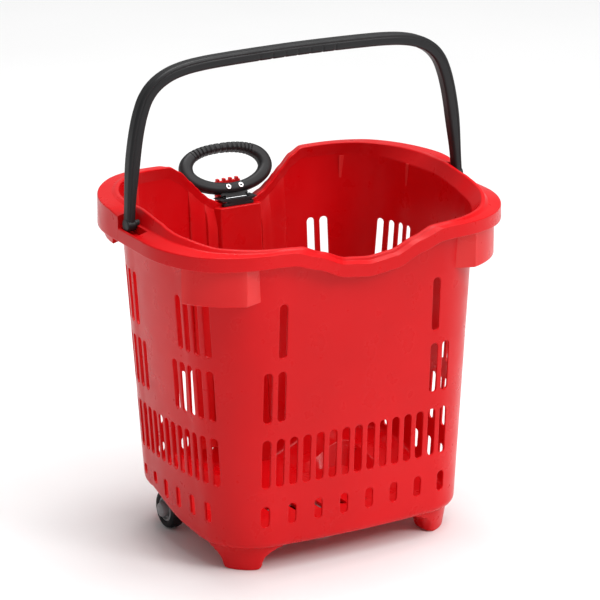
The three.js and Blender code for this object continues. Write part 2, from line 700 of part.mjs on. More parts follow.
// One half shell of the loop: sign -1 is the front, +1 the rear.
function gripHalf(sign) {
  const steps = 40;
  const rows = [];
  for (let i = 0; i < steps; i += 1) {
    const point = loopPoint(i / steps);
    const tangent = loopPoint((i + 0.5) / steps).sub(loopPoint((i - 0.5) / steps)).normalize();
    const out = new THREE.Vector2(tangent.y, -tangent.x);
    const across = gripAcross(i / steps);
    const row = GRIP_SECTION.map(([u, v]) => new THREE.Vector3(
      point.x + out.x * u * across,
      sign * v * GRIP.deep,
      point.y + out.y * u * across));
    rows.push(sign > 0 ? row.reverse() : row);
  }
  const shell = toSolid(loft(rows, true));
  const half = STEM.halfWidth + GAP;
  const deep = STEM.halfDepth + GAP;
  const pocket = toSolid(box(-half, half, -deep, deep, -20, GRIP.lift + STEM.aboveRivets + GAP));
  const seats = rivetCuts(RIVET.seat, sign * (GRIP.deep - RIVET.seatDepth), sign * 2 * GRIP.deep);
  return toGeometry(shell.subtract(pocket).subtract(rivetHoles()).subtract(seats));
}

// Two cutters along the rivets' axes.
function rivetCuts(radius, y0, y1) {
  return unite([-1, 1].map((side) => toSolid(pin(radius, side * RIVET.x, y0, y1, GRIP.lift))));
}

function rivetHoles() {
  return rivetCuts(RIVET.hole, -2 * GRIP.deep, 2 * GRIP.deep);
}

// Tongue between the grip halves, with a plug down into the inner tube.
function gripStem() {
  const { halfWidth, halfDepth, bottom, aboveRivets, plug: length } = STEM;
  const plugX = INNER.halfWidth - INNER.wall - GAP;
  const plugY = INNER.halfDepth - INNER.wall - GAP;
  const tongue = toSolid(box(-halfWidth, halfWidth, -halfDepth, halfDepth, bottom, GRIP.lift + aboveRivets));
  const neck = toSolid(box(-plugX, plugX, -halfDepth, halfDepth, -1.5, bottom + GAP));
  const plug = toSolid(box(-plugX, plugX, -plugY, plugY, -length, 0.6).rotateX(GRIP_LEAN));
  return toGeometry(unite([tongue, neck, plug]).subtract(rivetHoles()));
}

// Tubular rivet: a ring head at each end of a hollow shank.
function gripRivet() {
  const face = GRIP.deep - 0.7;
  const { bore, head, shank, rim } = RIVET;
  const profile = [[bore, -face - rim], [head, -face - rim], [head, -face], [shank, -face],
    [shank, face], [head, face], [head, face + rim], [bore, face + rim], [bore, -face - rim]];
  const points = profile.map(([r, y]) => new THREE.Vector2(r, y));
  return new THREE.LatheGeometry(points, 12);
}

// --------------------------------------------------------------------- wheels

// Closed lathe profile turned to run along X, with its first face at x0.
function turned(profile, sides = 24) {
  const points = profile.map(([r, x]) => new THREE.Vector2(r, x));
  points.push(points[0].clone());
  return new THREE.LatheGeometry(points, sides).rotateZ(-Math.PI / 2);
}

const WHEEL_WIDTH = WHEEL.outer - WHEEL.inner;

function tyre() {
  const { radius: r, hubRadius: h } = WHEEL;
  const w = WHEEL_WIDTH;
  return turned([[h + GAP, 1.5], [r - 5, 0], [r - 1.6, 2.2], [r, w / 2], [r - 1.6, w - 2.2],
    [r - 5, w], [h + GAP, w - 1.5]]);
}

function hub() {
  const { hubRadius: h } = WHEEL;
  const w = WHEEL_WIDTH;
  const bore = AXLE_RADIUS + AXLE_CLEARANCE;
  return turned([[bore, 0.5], [h - 3, 0.5], [h, 2.2], [h, w - 2.2], [h - 2.5, w - 1],
    [h - 4.5, w - 3.4], [bore + 2.5, w - 3.4], [bore, w - 3.4]]);
}

function washer() {
  const bore = AXLE_RADIUS + AXLE_CLEARANCE;
  const { radius, thickness } = WASHER;
  return turned([[bore, 0], [radius, 0], [radius, thickness], [bore, thickness]], 20);
}

// Domed cap pressed over the axle end, outside the hub.
function axleCap() {
  const bore = AXLE_RADIUS + GAP;
  return turned([[bore, 0], [9.5, 0], [9.5, 4.6], [8.2, 7.6], [4.5, 9.4], [0, 9.8], [0, 6.6], [bore, 6.6]], 24);
}

// ------------------------------------------------------------------- assembly

const object = new THREE.Group();
object.name = 'rolling_basket';
const basket = new THREE.Group();
basket.position.y = CENTRE_Y;
object.add(basket);

function addPiece(parent, name, geometry, look) {
  const mesh = new THREE.Mesh(geometry, material(look));
  mesh.name = name;
  parent.add(mesh);
  return mesh;
}

addPiece(basket, 'basket_tub', basketTub(), 'tub');

const handle = addPiece(basket, 'carry_handle', carryHandle(), 'black');
handle.position.set(0, PIVOT.y, PIVOT.z);
handle.rotation.x = -HANDLE_LEAN;

const drawbar = new THREE.Group();
drawbar.position.y = DRAWBAR_Y;
drawbar.rotation.x = -DRAWBAR_LEAN;
basket.add(drawbar);
addPiece(drawbar, 'rear_cover', rearCover(), 'cover');
addPiece(drawbar, 'drawbar_sleeve', toGeometry(flatTube(SLEEVE)), 'metal');
addPiece(drawbar, 'drawbar_middle_tube', toGeometry(flatTube(MIDDLE)), 'metal');
addPiece(drawbar, 'middle_tube_plug', middlePlug(), 'black');
addPiece(drawbar, 'drawbar_inner_tube', toGeometry(flatTube(INNER)), 'metal');
addPiece(drawbar, 'inner_tube_plug', innerPlug(), 'black');
addPiece(drawbar, 'guide_collar', guideCollar(), 'black');

COVER_SCREW_HEIGHTS.forEach((z, row) => {
  for (const [label, side] of [['left', -1], ['right', 1]]) {
    const screw = addPiece(drawbar, `cover_screw_${label}_${row + 1}`, coverScrew(), 'metal');
    screw.position.set(side * COVER_SCREW_X, 0, z);
  }
});

const grip = new THREE.Group();
grip.position.z = INNER.top;
grip.rotation.x = -GRIP_LEAN;
drawbar.add(grip);
addPiece(grip, 'grip_front', gripHalf(-1), 'black');
addPiece(grip, 'grip_rear', gripHalf(1), 'black');
addPiece(grip, 'grip_stem', gripStem(), 'black');
for (const [label, side] of [['left', -1], ['right', 1]]) {
  const rivet = addPiece(grip, `grip_rivet_${label}`, gripRivet(), 'rivet');
  rivet.position.set(side * RIVET.x, 0, GRIP.lift);
}

addPiece(basket, 'axle_rod', rod(AXLE_RADIUS, -AXLE_END, AXLE_END, WHEEL.y, WHEEL.radius), 'metal');
for (const [label, side] of [['left', -1], ['right', 1]]) {
  const corner = new THREE.Group();
  corner.position.set(0, WHEEL.y, WHEEL.radius);
  if (side < 0) corner.rotation.z = Math.PI;
  basket.add(corner);
  addPiece(corner, `wheel_tyre_${label}`, tyre(), 'tyre').position.x = WHEEL.inner;
  addPiece(corner, `wheel_hub_${label}`, hub(), 'hub').position.x = WHEEL.inner;
  addPiece(corner, `axle_washer_${label}`, washer(), 'metal').position.x = WHEEL.inner - WASHER.thickness - WASHER.play;
  addPiece(corner, `axle_cap_${label}`, axleCap(), 'hub').position.x = WHEEL.outer - CAP_OVERLAP;
}

export default object;
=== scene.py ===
import math

import bmesh
import bpy
from mathutils import Matrix, Vector
from mathutils.geometry import delaunay_2d_cdt


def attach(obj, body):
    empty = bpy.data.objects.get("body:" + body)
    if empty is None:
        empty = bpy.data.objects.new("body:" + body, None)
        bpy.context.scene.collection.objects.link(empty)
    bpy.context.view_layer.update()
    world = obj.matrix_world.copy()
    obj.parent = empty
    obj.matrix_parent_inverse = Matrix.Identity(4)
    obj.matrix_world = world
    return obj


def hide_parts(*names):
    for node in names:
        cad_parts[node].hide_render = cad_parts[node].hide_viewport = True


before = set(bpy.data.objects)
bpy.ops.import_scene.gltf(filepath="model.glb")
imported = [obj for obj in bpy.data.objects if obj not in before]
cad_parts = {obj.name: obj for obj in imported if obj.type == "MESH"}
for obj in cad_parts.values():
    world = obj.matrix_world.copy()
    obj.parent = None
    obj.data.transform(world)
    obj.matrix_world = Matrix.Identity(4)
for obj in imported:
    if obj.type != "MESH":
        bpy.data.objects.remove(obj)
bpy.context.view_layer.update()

MM = 0.001
CENTRE_Y = -15                    # the handle's pivot line, from the origin
QUARTER = math.pi / 2

# ------------------------------------------------------------ sizes, in mm
# Outline sizes: half width, front depth, rear depth, front corner radius,
# rear corner radius, front bow and side bow.
RIM = (238, 169, 166, 118, 133, 4, 0)
LIP = (213, 163.5, 153, 108, 114, 3, 0)
WALL_THICKNESS = 3
FLOOR_UNDER = 33
FLOOR_TOP = 38
FLOOR_STEP = 62
STOP_STATION = 2.75
POCKET_STATIONS = (2.262, 2.732)
POCKET_FLOOR = 403
POCKET_SHARES = (0.135, 0.15, 0.835, 0.85)

# Heights by station: 0 the middle of the front, 1-2 the front corner,
# 2-3 the side, 3-4 the rear corner, 5 the middle of the rear.
LIP_TOP = ((0, 387), (0.3, 390), (0.6, 401.5), (0.85, 411), (1.1, 412.5), (1.5, 414),
           (1.8, 421), (2.1, 428), (2.6, 434), (3.1, 434), (3.6, 436), (4.05, 433.5),
           (4.2, 425), (4.35, 410), (4.43, 401.5), (4.5, 394), (4.62, 384.5), (4.75, 378), (5, 373))
LEDGE = ((0, 380), (0.3, 384), (0.6, 398), (0.85, 407), (1.05, 408), (1.5, 407.5),
         (2, 410), (2.74, 411))
SHOULDER = ((2.76, 426), (3.1, 431), (3.6, 434.5), (4.05, 432), (4.2, 424), (4.35, 409),
            (4.43, 400.5), (4.5, 393), (4.62, 383.5), (4.75, 377), (5, 372))
SKIRT_BOTTOM = ((0, 364), (0.3, 368), (0.6, 382), (0.85, 391), (1.05, 392), (1.5, 390),
                (2, 393), (2.74, 395), (3.4, 396), (3.8, 399), (4.05, 404), (4.2, 398),
                (4.35, 385), (4.5, 370), (4.62, 360), (4.75, 353), (5, 348))
BOTTOM_EDGE = ((0, 30), (2, 31), (2.3, 37), (3, 58), (3.5, 60), (4, 58), (4.4, 40), (4.6, 33), (5, 33))

SLOT_ROWS = ((340, 273), (256, 193), (171, 110), (86, 60))
FRONT_COLUMNS = ((2, 14), (1, 2, 14, 15), range(1, 16), range(1, 16, 2))
REAR_COLUMNS = ((1, 2, 14, 15), (1, 2, 14, 15), (1, 2, 3, 4, 5, 11, 12, 13, 14, 15), (1, 3, 5, 11, 13, 15))
SIDE_COLUMNS = ((0, 1, 2, 3, 10, 11, 12, 13), (0, 1, 2, 3, 4, 9, 10, 11, 12, 13), range(14),
                (1, 3, 5, 7, 9, 11))
FRONT_PITCH = 17.6
SIDE_PITCH = 15.5
SLOT_HALF = 5.25
SIDE_SLOT_HALF = 4.75
EDGE_ROUND = 0.8

PIVOT = Vector((229, 0, 417))
HANDLE_LEAN = math.radians(1.5)
HANDLE_PATH = ((0, 184.3), (30, 184.1), (60, 183.7), (92, 183), (123, 181.8), (150, 179), (172, 173.3),
               (190, 163.3), (202.5, 149.5), (210.5, 131.5), (216.3, 110), (220.8, 85), (224.5, 55),
               (227.2, 27), (229, 0))
DRAWBAR_LEAN = math.atan(0.072)
DRAWBAR_Y = 126.5
TUBES = {
    "drawbar_sleeve": (19.5, 8.2, 1.7, 46, 362),
    "drawbar_middle_tube": (17.4, 6.1, 1.4, 62, 380),
    "drawbar_inner_tube": (15.5, 4.2, 1.2, 92, 383),
}
TUBE_TOP = 383
GRIP_LEAN = math.radians(34)
GRIP_LIFT = 11
GRIP_HALF_WIDTH = 55.8
GRIP_HALF_HEIGHT = 27.8
RIVET_X = 8.8
WHEEL_Y = 61
WHEEL_RADIUS = 24.5
WHEEL_INNER = 137.5
WHEEL_WIDTH = 19
HUB_RADIUS = 15.5
AXLE_RADIUS = 3
AXLE_END = 159.7
FOOT = (135.5, -101)


# ---------------------------------------------------------------- materials

def new_material(name, roughness, metallic=0.0, specular=0.5):
    material = bpy.data.materials.new(name)
    material.use_nodes = True
    shader = material.node_tree.nodes["Principled BSDF"]
    shader.inputs["Roughness"].default_value = roughness
    shader.inputs["Metallic"].default_value = metallic
    shader.inputs["Specular IOR Level"].default_value = specular
    return material, material.node_tree, shader


def noise(tree, scale, detail=4.0, stretch=None, roughness=0.5):
    place = tree.nodes.new("ShaderNodeTexCoord")
    texture = tree.nodes.new("ShaderNodeTexNoise")
    texture.inputs["Scale"].default_value = scale
    texture.inputs["Detail"].default_value = detail
    texture.inputs["Roughness"].default_value = roughness
    source = place.outputs["Object"]
    if stretch:
        mapping = tree.nodes.new("ShaderNodeMapping")
        mapping.inputs["Scale"].default_value = stretch
        tree.links.new(source, mapping.inputs["Vector"])
        source = mapping.outputs["Vector"]
    tree.links.new(source, texture.inputs["Vector"])
    return texture.outputs["Fac"]


def ramp(tree, source, stops):
    node = tree.nodes.new("ShaderNodeValToRGB")
    tree.links.new(source, node.inputs["Fac"])
    elements = node.color_ramp.elements
    while len(elements) < len(stops):
        elements.new(0.5)
    for element, (place, colour) in zip(elements, stops):
        element.position = place
        element.color = (*colour, 1)
    return node.outputs["Color"]


def spread(tree, source, low, high):
    node = tree.nodes.new("ShaderNodeMapRange")
    node.inputs["From Min"].default_value = 0.3
    node.inputs["From Max"].default_value = 0.7
    node.inputs["To Min"].default_value = low
    node.inputs["To Max"].default_value = high
    tree.links.new(source, node.inputs["Value"])
    return node.outputs["Result"]


def bump(tree, source, strength, distance, below=None):
    node = tree.nodes.new("ShaderNodeBump")
    node.inputs["Strength"].default_value = strength
    node.inputs["Distance"].default_value = distance
    tree.links.new(source, node.inputs["Height"])
    if below:
        tree.links.new(below, node.inputs["Normal"])
    return node.outputs["Normal"]


def tinted_edges(tree, colour, edge, amount):
    """Blend towards an edge colour where the surface is sharply convex."""
    geometry = tree.nodes.new("ShaderNodeNewGeometry")
    mask = tree.nodes.new("ShaderNodeMapRange")
    mask.inputs["From Min"].default_value = 0.53
    mask.inputs["From Max"].default_value = 0.62
    mask.inputs["To Max"].default_value = amount
    tree.links.new(geometry.outputs["Pointiness"], mask.inputs["Value"])
    mix = tree.nodes.new("ShaderNodeMix")
    mix.data_type = "RGBA"
    tree.links.new(mask.outputs["Result"], mix.inputs["Factor"])
    tree.links.new(colour, mix.inputs["A"])
    mix.inputs["B"].default_value = (*edge, 1)
    return mix.outputs["Result"]


def plastic(name, dark, light, edge, roughness, grain_scale, grain, specular=0.3, wear=0.3):
    """Moulded plastic: slow colour drift, fine grain, faint flow marks, rubbed edges."""
    material, tree, shader = new_material(name, roughness, 0.0, specular)
    drift = ramp(tree, noise(tree, 5.0, 3.0), [(0.35, dark), (0.65, light)])
    tree.links.new(tinted_edges(tree, drift, edge, wear), shader.inputs["Base Color"])
    rough = spread(tree, noise(tree, 38.0, 6.0), roughness - 0.05, roughness + 0.07)
    tree.links.new(rough, shader.inputs["Roughness"])
    flow = bump(tree, noise(tree, 22.0, 1.0, (1, 1, 0.25)), 0.05, 0.0002)
    fine = bump(tree, noise(tree, grain_scale, 3.0), grain, 0.00008, flow)
    tree.links.new(fine, shader.inputs["Normal"])
    return material


def metal(name, dark, light, roughness, stretch, scratch_scale):
    """Drawn or plated metal: long scratches, slight tarnish."""
    material, tree, shader = new_material(name, roughness, 1.0)
    tree.links.new(ramp(tree, noise(tree, 14.0, 5.0), [(0.3, dark), (0.7, light)]),
                   shader.inputs["Base Color"])
    lines = noise(tree, scratch_scale, 4.0, stretch)
    tree.links.new(spread(tree, lines, roughness - 0.08, roughness + 0.12), shader.inputs["Roughness"])
    tree.links.new(bump(tree, lines, 0.15, 0.00005), shader.inputs["Normal"])
    return material


def rubber(name):
    """Tyre rubber: matt, dusty in patches, pitted."""
    material, tree, shader = new_material(name, 0.8, 0.0, 0.3)
    stops = [(0.35, (0.008, 0.008, 0.009)), (0.62, (0.02, 0.02, 0.02)), (0.8, (0.05, 0.047, 0.043))]
    tree.links.new(ramp(tree, noise(tree, 60.0, 6.0), stops), shader.inputs["Base Color"])
    tree.links.new(spread(tree, noise(tree, 90.0, 4.0), 0.66, 0.9), shader.inputs["Roughness"])
    tree.links.new(bump(tree, noise(tree, 1400.0, 3.0), 0.5, 0.0001), shader.inputs["Normal"])
    return material


MATERIALS = {
    "tub_red": plastic("tub_red", (0.58, 0.001, 0.003), (0.68, 0.002, 0.005), (0.95, 0.10, 0.09),
                       0.30, 1500.0, 0.10, specular=0.2),
    "cover_red": plastic("cover_red", (0.50, 0.002, 0.005), (0.60, 0.004, 0.008), (0.85, 0.08, 0.08),
                         0.34, 1500.0, 0.2, specular=0.2),
    "handle_black": plastic("handle_black", (0.010, 0.010, 0.011), (0.015, 0.015, 0.016),
                            (0.05, 0.05, 0.052), 0.42, 1700.0, 0.3),
    "grip_black": plastic("grip_black", (0.010, 0.010, 0.011), (0.016, 0.016, 0.017),
                          (0.06, 0.06, 0.062), 0.46, 1700.0, 0.35),
    "collar_black": plastic("collar_black", (0.012, 0.012, 0.013), (0.019, 0.019, 0.02),
                            (0.06, 0.06, 0.06), 0.5, 1700.0, 0.35),
    "hub_grey": plastic("hub_grey", (0.20, 0.205, 0.21), (0.27, 0.275, 0.28), (0.45, 0.45, 0.46),
                        0.42, 1600.0, 0.25),
    "tube_aluminium": metal("tube_aluminium", (0.60, 0.61, 0.63), (0.76, 0.77, 0.78), 0.3,
                            (90, 90, 2), 8.0),
    "steel": metal("steel", (0.42, 0.42, 0.43), (0.60, 0.60, 0.60), 0.34, (3, 60, 60), 10.0),
    "rivet_metal": metal("rivet_metal", (0.78, 0.78, 0.79), (0.92, 0.92, 0.92), 0.25, (30, 30, 30), 12.0),
    "tyre_black": rubber("tyre_black"),
}


# ------------------------------------------------------------- mesh helpers

class Shape:
    """Vertices and faces of one piece, in millimetres."""

    def __init__(self):
        self.verts = []
        self.faces = []

    def add(self, verts, faces):
        base = len(self.verts)
        self.verts += verts
        self.faces += [tuple(base + i for i in face) for face in faces]

    def grid(self, rows, around=True, wrap=False):
        """Quads between rows of equal length; around closes each row."""
        count = len(rows[0])
        faces = []
        for r in range(len(rows) if wrap else len(rows) - 1):
            low, high = r * count, ((r + 1) % len(rows)) * count
            for i in range(count if around else count - 1):
                j = (i + 1) % count
                faces.append((low + i, low + j, high + j, high + i))
        self.add([p for row in rows for p in row], faces)

    def cap(self, ring):
        self.add(list(ring), [tuple(range(len(ring)))])

    def loft(self, rows):
        self.grid(rows)
        self.cap(rows[0])
        self.cap(rows[-1])

    def moved(self, matrix):
        self.verts = [matrix @ Vector(v) for v in self.verts]
        return self


def piece(name, shape, slot, body, nodes=(), sharp=38.0, weighted=True):
    """A mesh object from a shape, riding on a body, in place of CAD nodes."""
    mesh = bpy.data.meshes.new(name)
    mesh.from_pydata([(v[0] * MM, (v[1] + CENTRE_Y) * MM, v[2] * MM) for v in shape.verts], [], shape.faces)
    work = bmesh.new()
    work.from_mesh(mesh)
    bmesh.ops.remove_doubles(work, verts=work.verts, dist=3e-6)
    bmesh.ops.dissolve_degenerate(work, edges=work.edges, dist=1e-7)
    bmesh.ops.recalc_face_normals(work, faces=work.faces)
    for face in work.faces:
        face.smooth = True
    limit = math.radians(sharp)
    for edge in work.edges:
        edge.smooth = edge.calc_face_angle(0.0) < limit
    work.to_mesh(mesh)
    work.free()
    mesh.materials.append(MATERIALS[slot])
    obj = bpy.data.objects.new(name, mesh)
    bpy.context.scene.collection.objects.link(obj)
    if weighted:
        modifier = obj.modifiers.new("normals", "WEIGHTED_NORMAL")
        modifier.keep_sharp = True
    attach(obj, body)
    if nodes:
        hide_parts(*nodes)
    return obj


def rounded(corners, steps=4):
    """Polyline through (point, radius) corners, with an arc where there is a radius."""
    points = [point for point, _ in corners]
    out = [points[0]]
    for i in range(1, len(points) - 1):
        point, radius = corners[i]
        if radius == 0:
            out.append(point)
            continue
        back, ahead = points[i - 1] - point, points[i + 1] - point
        room = min(back.length * (0.97 if corners[i - 1][1] == 0 else 0.49),
                   ahead.length * (0.97 if corners[i + 1][1] == 0 else 0.49))
        half = back.angle(ahead, math.pi) / 2
        reach = min(radius / max(math.tan(half), 1e-6), room)
        start, end = point + back.normalized() * reach, point + ahead.normalized() * reach
        weight = math.sin(half)
        for k in range(steps + 1):
            u = k / steps
            a, b, c = (1 - u) ** 2, 2 * weight * u * (1 - u), u * u
            out.append((start * a + point * b + end * c) / (a + b + c))
    out.append(points[-1])
    return out


def rounded_rectangle(half_x, half_y, radius, steps=5):
    """Closed loop of (x, y), anticlockwise, with straight sides left undivided."""
    loop = []
    for sx, sy, start in ((1, 1, 0), (-1, 1, 1), (-1, -1, 2), (1, -1, 3)):
        for k in range(steps + 1):
            angle = (start + k / steps) * QUARTER
            loop.append((sx * (half_x - radius) + radius * math.cos(angle),
                         sy * (half_y - radius) + radius * math.sin(angle)))
    return loop


def rounded_box(shape, x0, x1, y0, y1, z0, z1, radius=1.0, upright=2.0):
    """Block with rounded upright edges and eased top and bottom edges."""
    cx, cy = (x0 + x1) / 2, (y0 + y1) / 2
    hx, hy = (x1 - x0) / 2, (y1 - y0) / 2
    corner = min(upright, hx - 0.05, hy - 0.05)
    rows = []
    for z, inset in ((z0, radius), (z0 + 0.3 * radius, 0.3 * radius), (z0 + radius, 0),
                     (z1 - radius, 0), (z1 - 0.3 * radius, 0.3 * radius), (z1, radius)):
        inset = min(inset, hx - 0.1, hy - 0.1)
        loop = rounded_rectangle(hx - inset, hy - inset, max(corner - inset, 0.05), 3)
        rows.append([Vector((cx + x, cy + y, z)) for x, y in loop])
    shape.loft(rows)


def turned(shape, profile, x0, y, z, sides=72, direction=1, ripple=None):
    """Closed profile of (radius, x) turned about an axis along X."""
    rows = []
    for k in range(sides):
        angle = 2 * math.pi * k / sides
        row = []
        for radius, x in profile:
            r = radius + (ripple(angle, radius) if ripple else 0)
            row.append(Vector((x0 + direction * x, y + r * math.cos(angle), z + r * math.sin(angle))))
        rows.append(row)
    shape.grid(rows, around=True, wrap=True)


def arc_profile(corners, steps=3):
    """Closed profile with rounded corners, from (radius, x, rounding) corners."""
    points = [(Vector((r, x, 0)), rounding) for r, x, rounding in corners]
    ring = [(points[-1][0].lerp(points[0][0], 0.5), 0)] + points
    ring.append((ring[0][0], 0))
    return [(p.x, p.y) for p in rounded(ring, steps)[:-1]]


def smooth(t):
    return t * t * (3 - 2 * t)


def height_at(table, station):
    """Height at a station, eased between the listed points."""
    if station <= table[0][0]:
        return table[0][1]
    for (s0, h0), (s1, h1) in zip(table, table[1:]):
        if station <= s1:
            t = (station - s0) / (s1 - s0)
            return h0 + (h1 - h0) * (0.5 * t + 0.5 * smooth(t))
    return table[-1][1]


# ------------------------------------------------------------ tub outlines

def outline(station, size):
    """(x, y) at a station of an outline; negative stations are the left half."""
    width, front, rear, front_radius, rear_radius, front_bow, side_bow = size
    s = abs(station)
    turn = (s % 1) * QUARTER
    if s <= 1:
        x, y = s * (width - front_radius), -front - front_bow * (1 - s * s)
    elif s < 2:
        x = width - front_radius + front_radius * math.sin(turn)
        y = front_radius - front - front_radius * math.cos(turn)
    elif s <= 3:
        u = s - 2
        x = width + side_bow * (1 - (2 * u - 1) ** 2)
        y = (front_radius - front) * (1 - u) + (rear - rear_radius) * u
    elif s < 4:
        x = width - rear_radius + rear_radius * math.cos(turn)
        y = rear - rear_radius + rear_radius * math.sin(turn)
    else:
        x, y = (5 - s) * (width - rear_radius), rear
    return (x if station >= 0 else -x), y


def wall(z, inset=0.0):
    return (171.5 + 0.07 * z - inset, 133.5 + 0.05 * z - inset, 126 + 0.072 * z - inset,
            max(64 + 0.085 * z - inset, 12), max(72 + 0.07 * z - inset, 12), 4, 4)


def grown(size, amount):
    return tuple(v + amount for v in size[:5]) + tuple(size[5:])


def mixed(a, b, t):
    return tuple(u + (v - u) * t for u, v in zip(a, b))


def at(station, size, z):
    x, y = outline(station, size)
    return Vector((x, y, z))


def ledge_at(s):
    low, high = height_at(LEDGE, s), height_at(SHOULDER, s)
    t = min(max((s - STOP_STATION + 0.008) / 0.016, 0), 1)
    return low + (high - low) * smooth(t)


def lip_at(s):
    return height_at(LIP_TOP, s)


def bottom_at(s):
    return height_at(BOTTOM_EDGE, s)


def steps_between(start, end, count):
    return [start + (end - start) * i / count for i in range(count)]


def half_stations():
    marks = (steps_between(0, 1, 26) + steps_between(1, 2, 30) + steps_between(2, 3, 20)
             + steps_between(3, 4, 32) + steps_between(4, 5, 34) + [5])
    edge = POCKET_STATIONS
    extra = [edge[0] - 0.002, edge[0] + 0.002, edge[1] - 0.002, edge[1] + 0.002]
    extra += [STOP_STATION + d for d in (-0.008, -0.004, 0, 0.004, 0.008)]
    clear = [m for m in marks if all(abs(m - e) > 0.006 or m in (2, 3) for e in extra)]
    return sorted(clear + extra)


HALF = half_stations()
RING = [-s for s in HALF[:0:-1]] + HALF[:-1]


# --------------------------------------------------------------- tub slots

def front_station(x, size):
    flat, radius = size[0] - size[3], size[3]
    s = abs(x) / flat if abs(x) <= flat else 1 + math.asin((abs(x) - flat) / radius) / QUARTER
    return math.copysign(s, x)


def rear_station(x, size):
    flat, radius = size[0] - size[4], size[4]
    s = 5 - abs(x) / flat if abs(x) <= flat else 3 + math.acos((abs(x) - flat) / radius) / QUARTER
    return math.copysign(s, x)


def side_station(y, size, side):
    near, far = size[3] - size[1], size[2] - size[4]
    if y < near:
        s = 1 + math.acos((near - y) / size[3]) / QUARTER
    elif y > far:
        s = 3 + math.asin((y - far) / size[4]) / QUARTER
    else:
        s = 2 + (y - near) / (far - near)
    return side * s


def arc_lengths():
    """Distance round the wall, by station, at mid height."""
    table, total, last = [], 0.0, None
    for i in range(2001):
        station = -5 + i / 200
        point = Vector(outline(station, wall(230)))
        total += (point - last).length if last else 0.0
        table.append(total)
        last = point
    return table


ARC = arc_lengths()


def arc_at(station):
    place = (station + 5) * 200
    i = min(int(place), 1999)
    return ARC[i] + (ARC[i + 1] - ARC[i]) * (place - i)


def slot_loop(half_x, low, high, grow):
    """Round-ended upright slot as (offset, height) points."""
    middle, half_z = (low + high) / 2, (high - low) / 2
    a, b = half_x + grow, half_z + grow
    loop = []
    corners = rounded_rectangle(a, b, min(a, b) - 0.35, 5)
    for i, (x, z) in enumerate(corners):
        nx, nz = corners[(i + 1) % len(corners)]
        loop.append((x, middle + z))
        gap = abs(nz - z)
        for k in range(1, 3):
            if gap > 20:
                loop.append((x + (nx - x) * k / 3, middle + z + (nz - z) * k / 3))
    return loop


def wall_slots():
    """(kind, centre, half width, low, high) of each slot in the walls."""
    slots = []
    for row, (high, low) in enumerate(SLOT_ROWS):
        for k in FRONT_COLUMNS[row]:
            slots.append(("front", (k - 8) * FRONT_PITCH, SLOT_HALF, low, high))
        for k in REAR_COLUMNS[row]:
            slots.append(("rear", (k - 8) * FRONT_PITCH, SLOT_HALF, low, high))
        for k in SIDE_COLUMNS[row]:
            for side in ("left", "right"):
                slots.append((side, (k - 6.5) * SIDE_PITCH, SIDE_SLOT_HALF, low, high))
    return [raised(slot) for slot in slots]


def slot_station(kind, offset, size):
    if kind == "front":
        return front_station(offset, size)
    if kind == "rear":
        return rear_station(offset, size)
    return side_station(offset, size, 1 if kind == "right" else -1)


def raised(slot):
    """The slot with its lower end kept clear of the tub's bottom edge."""
    kind, centre, half, low, high = slot
    ends = [abs(slot_station(kind, centre + d, wall(70))) for d in (-half, half)]
    return kind, centre, half, max([low] + [bottom_at(s) + 14 for s in ends]), high


def slot_points(slot, grow, inset):
    """The slot's loop on the wall, as (flat position, place) pairs."""
    kind, centre, half, low, high = slot
    points = []
    for dx, z in slot_loop(half, low, high, grow):
        size = wall(z, inset)
        station = slot_station(kind, centre + dx, size)
        points.append((Vector((arc_at(station), z)), at(station, size, z)))
    return points


# --------------------------------------------------------------- tub sheets

def sheet(shape, border, holes, rings, fill):
    """Triangles inside a border and outside the holes.  Every point is a
    (flat position, place) pair; rings are loops that only guide the mesh."""
    points, edges, hole_of = [], [], []
    for number, loop in enumerate([border] + holes + rings):
        start = len(points)
        points += loop
        edges += [(start + i, start + (i + 1) % len(loop)) for i in range(len(loop))]
        hole_of += [number if 0 < number <= len(holes) else -1] * len(loop)
    points += fill
    hole_of += [-1] * len(fill)
    made = delaunay_2d_cdt([p for p, _ in points], edges, [], 1, 1e-5)
    source = [ids[0] if ids else None for ids in made[3]]
    faces = []
    for face in made[2]:
        corner = [source[i] for i in face]
        if None in corner:
            continue
        owners = {hole_of[i] for i in corner}
        if len(owners) == 1 and owners != {-1}:
            continue
        faces.append(tuple(corner))
    used = sorted({i for face in faces for i in face})
    index = {old: new for new, old in enumerate(used)}
    shape.add([points[i][1] for i in used], [tuple(index[i] for i in face) for face in faces])


def near_slot(arc, z, boxes, margin):
    return any(x0 - margin < arc < x1 + margin and z0 - margin < z < z1 + margin
               for x0, x1, z0, z1 in boxes)


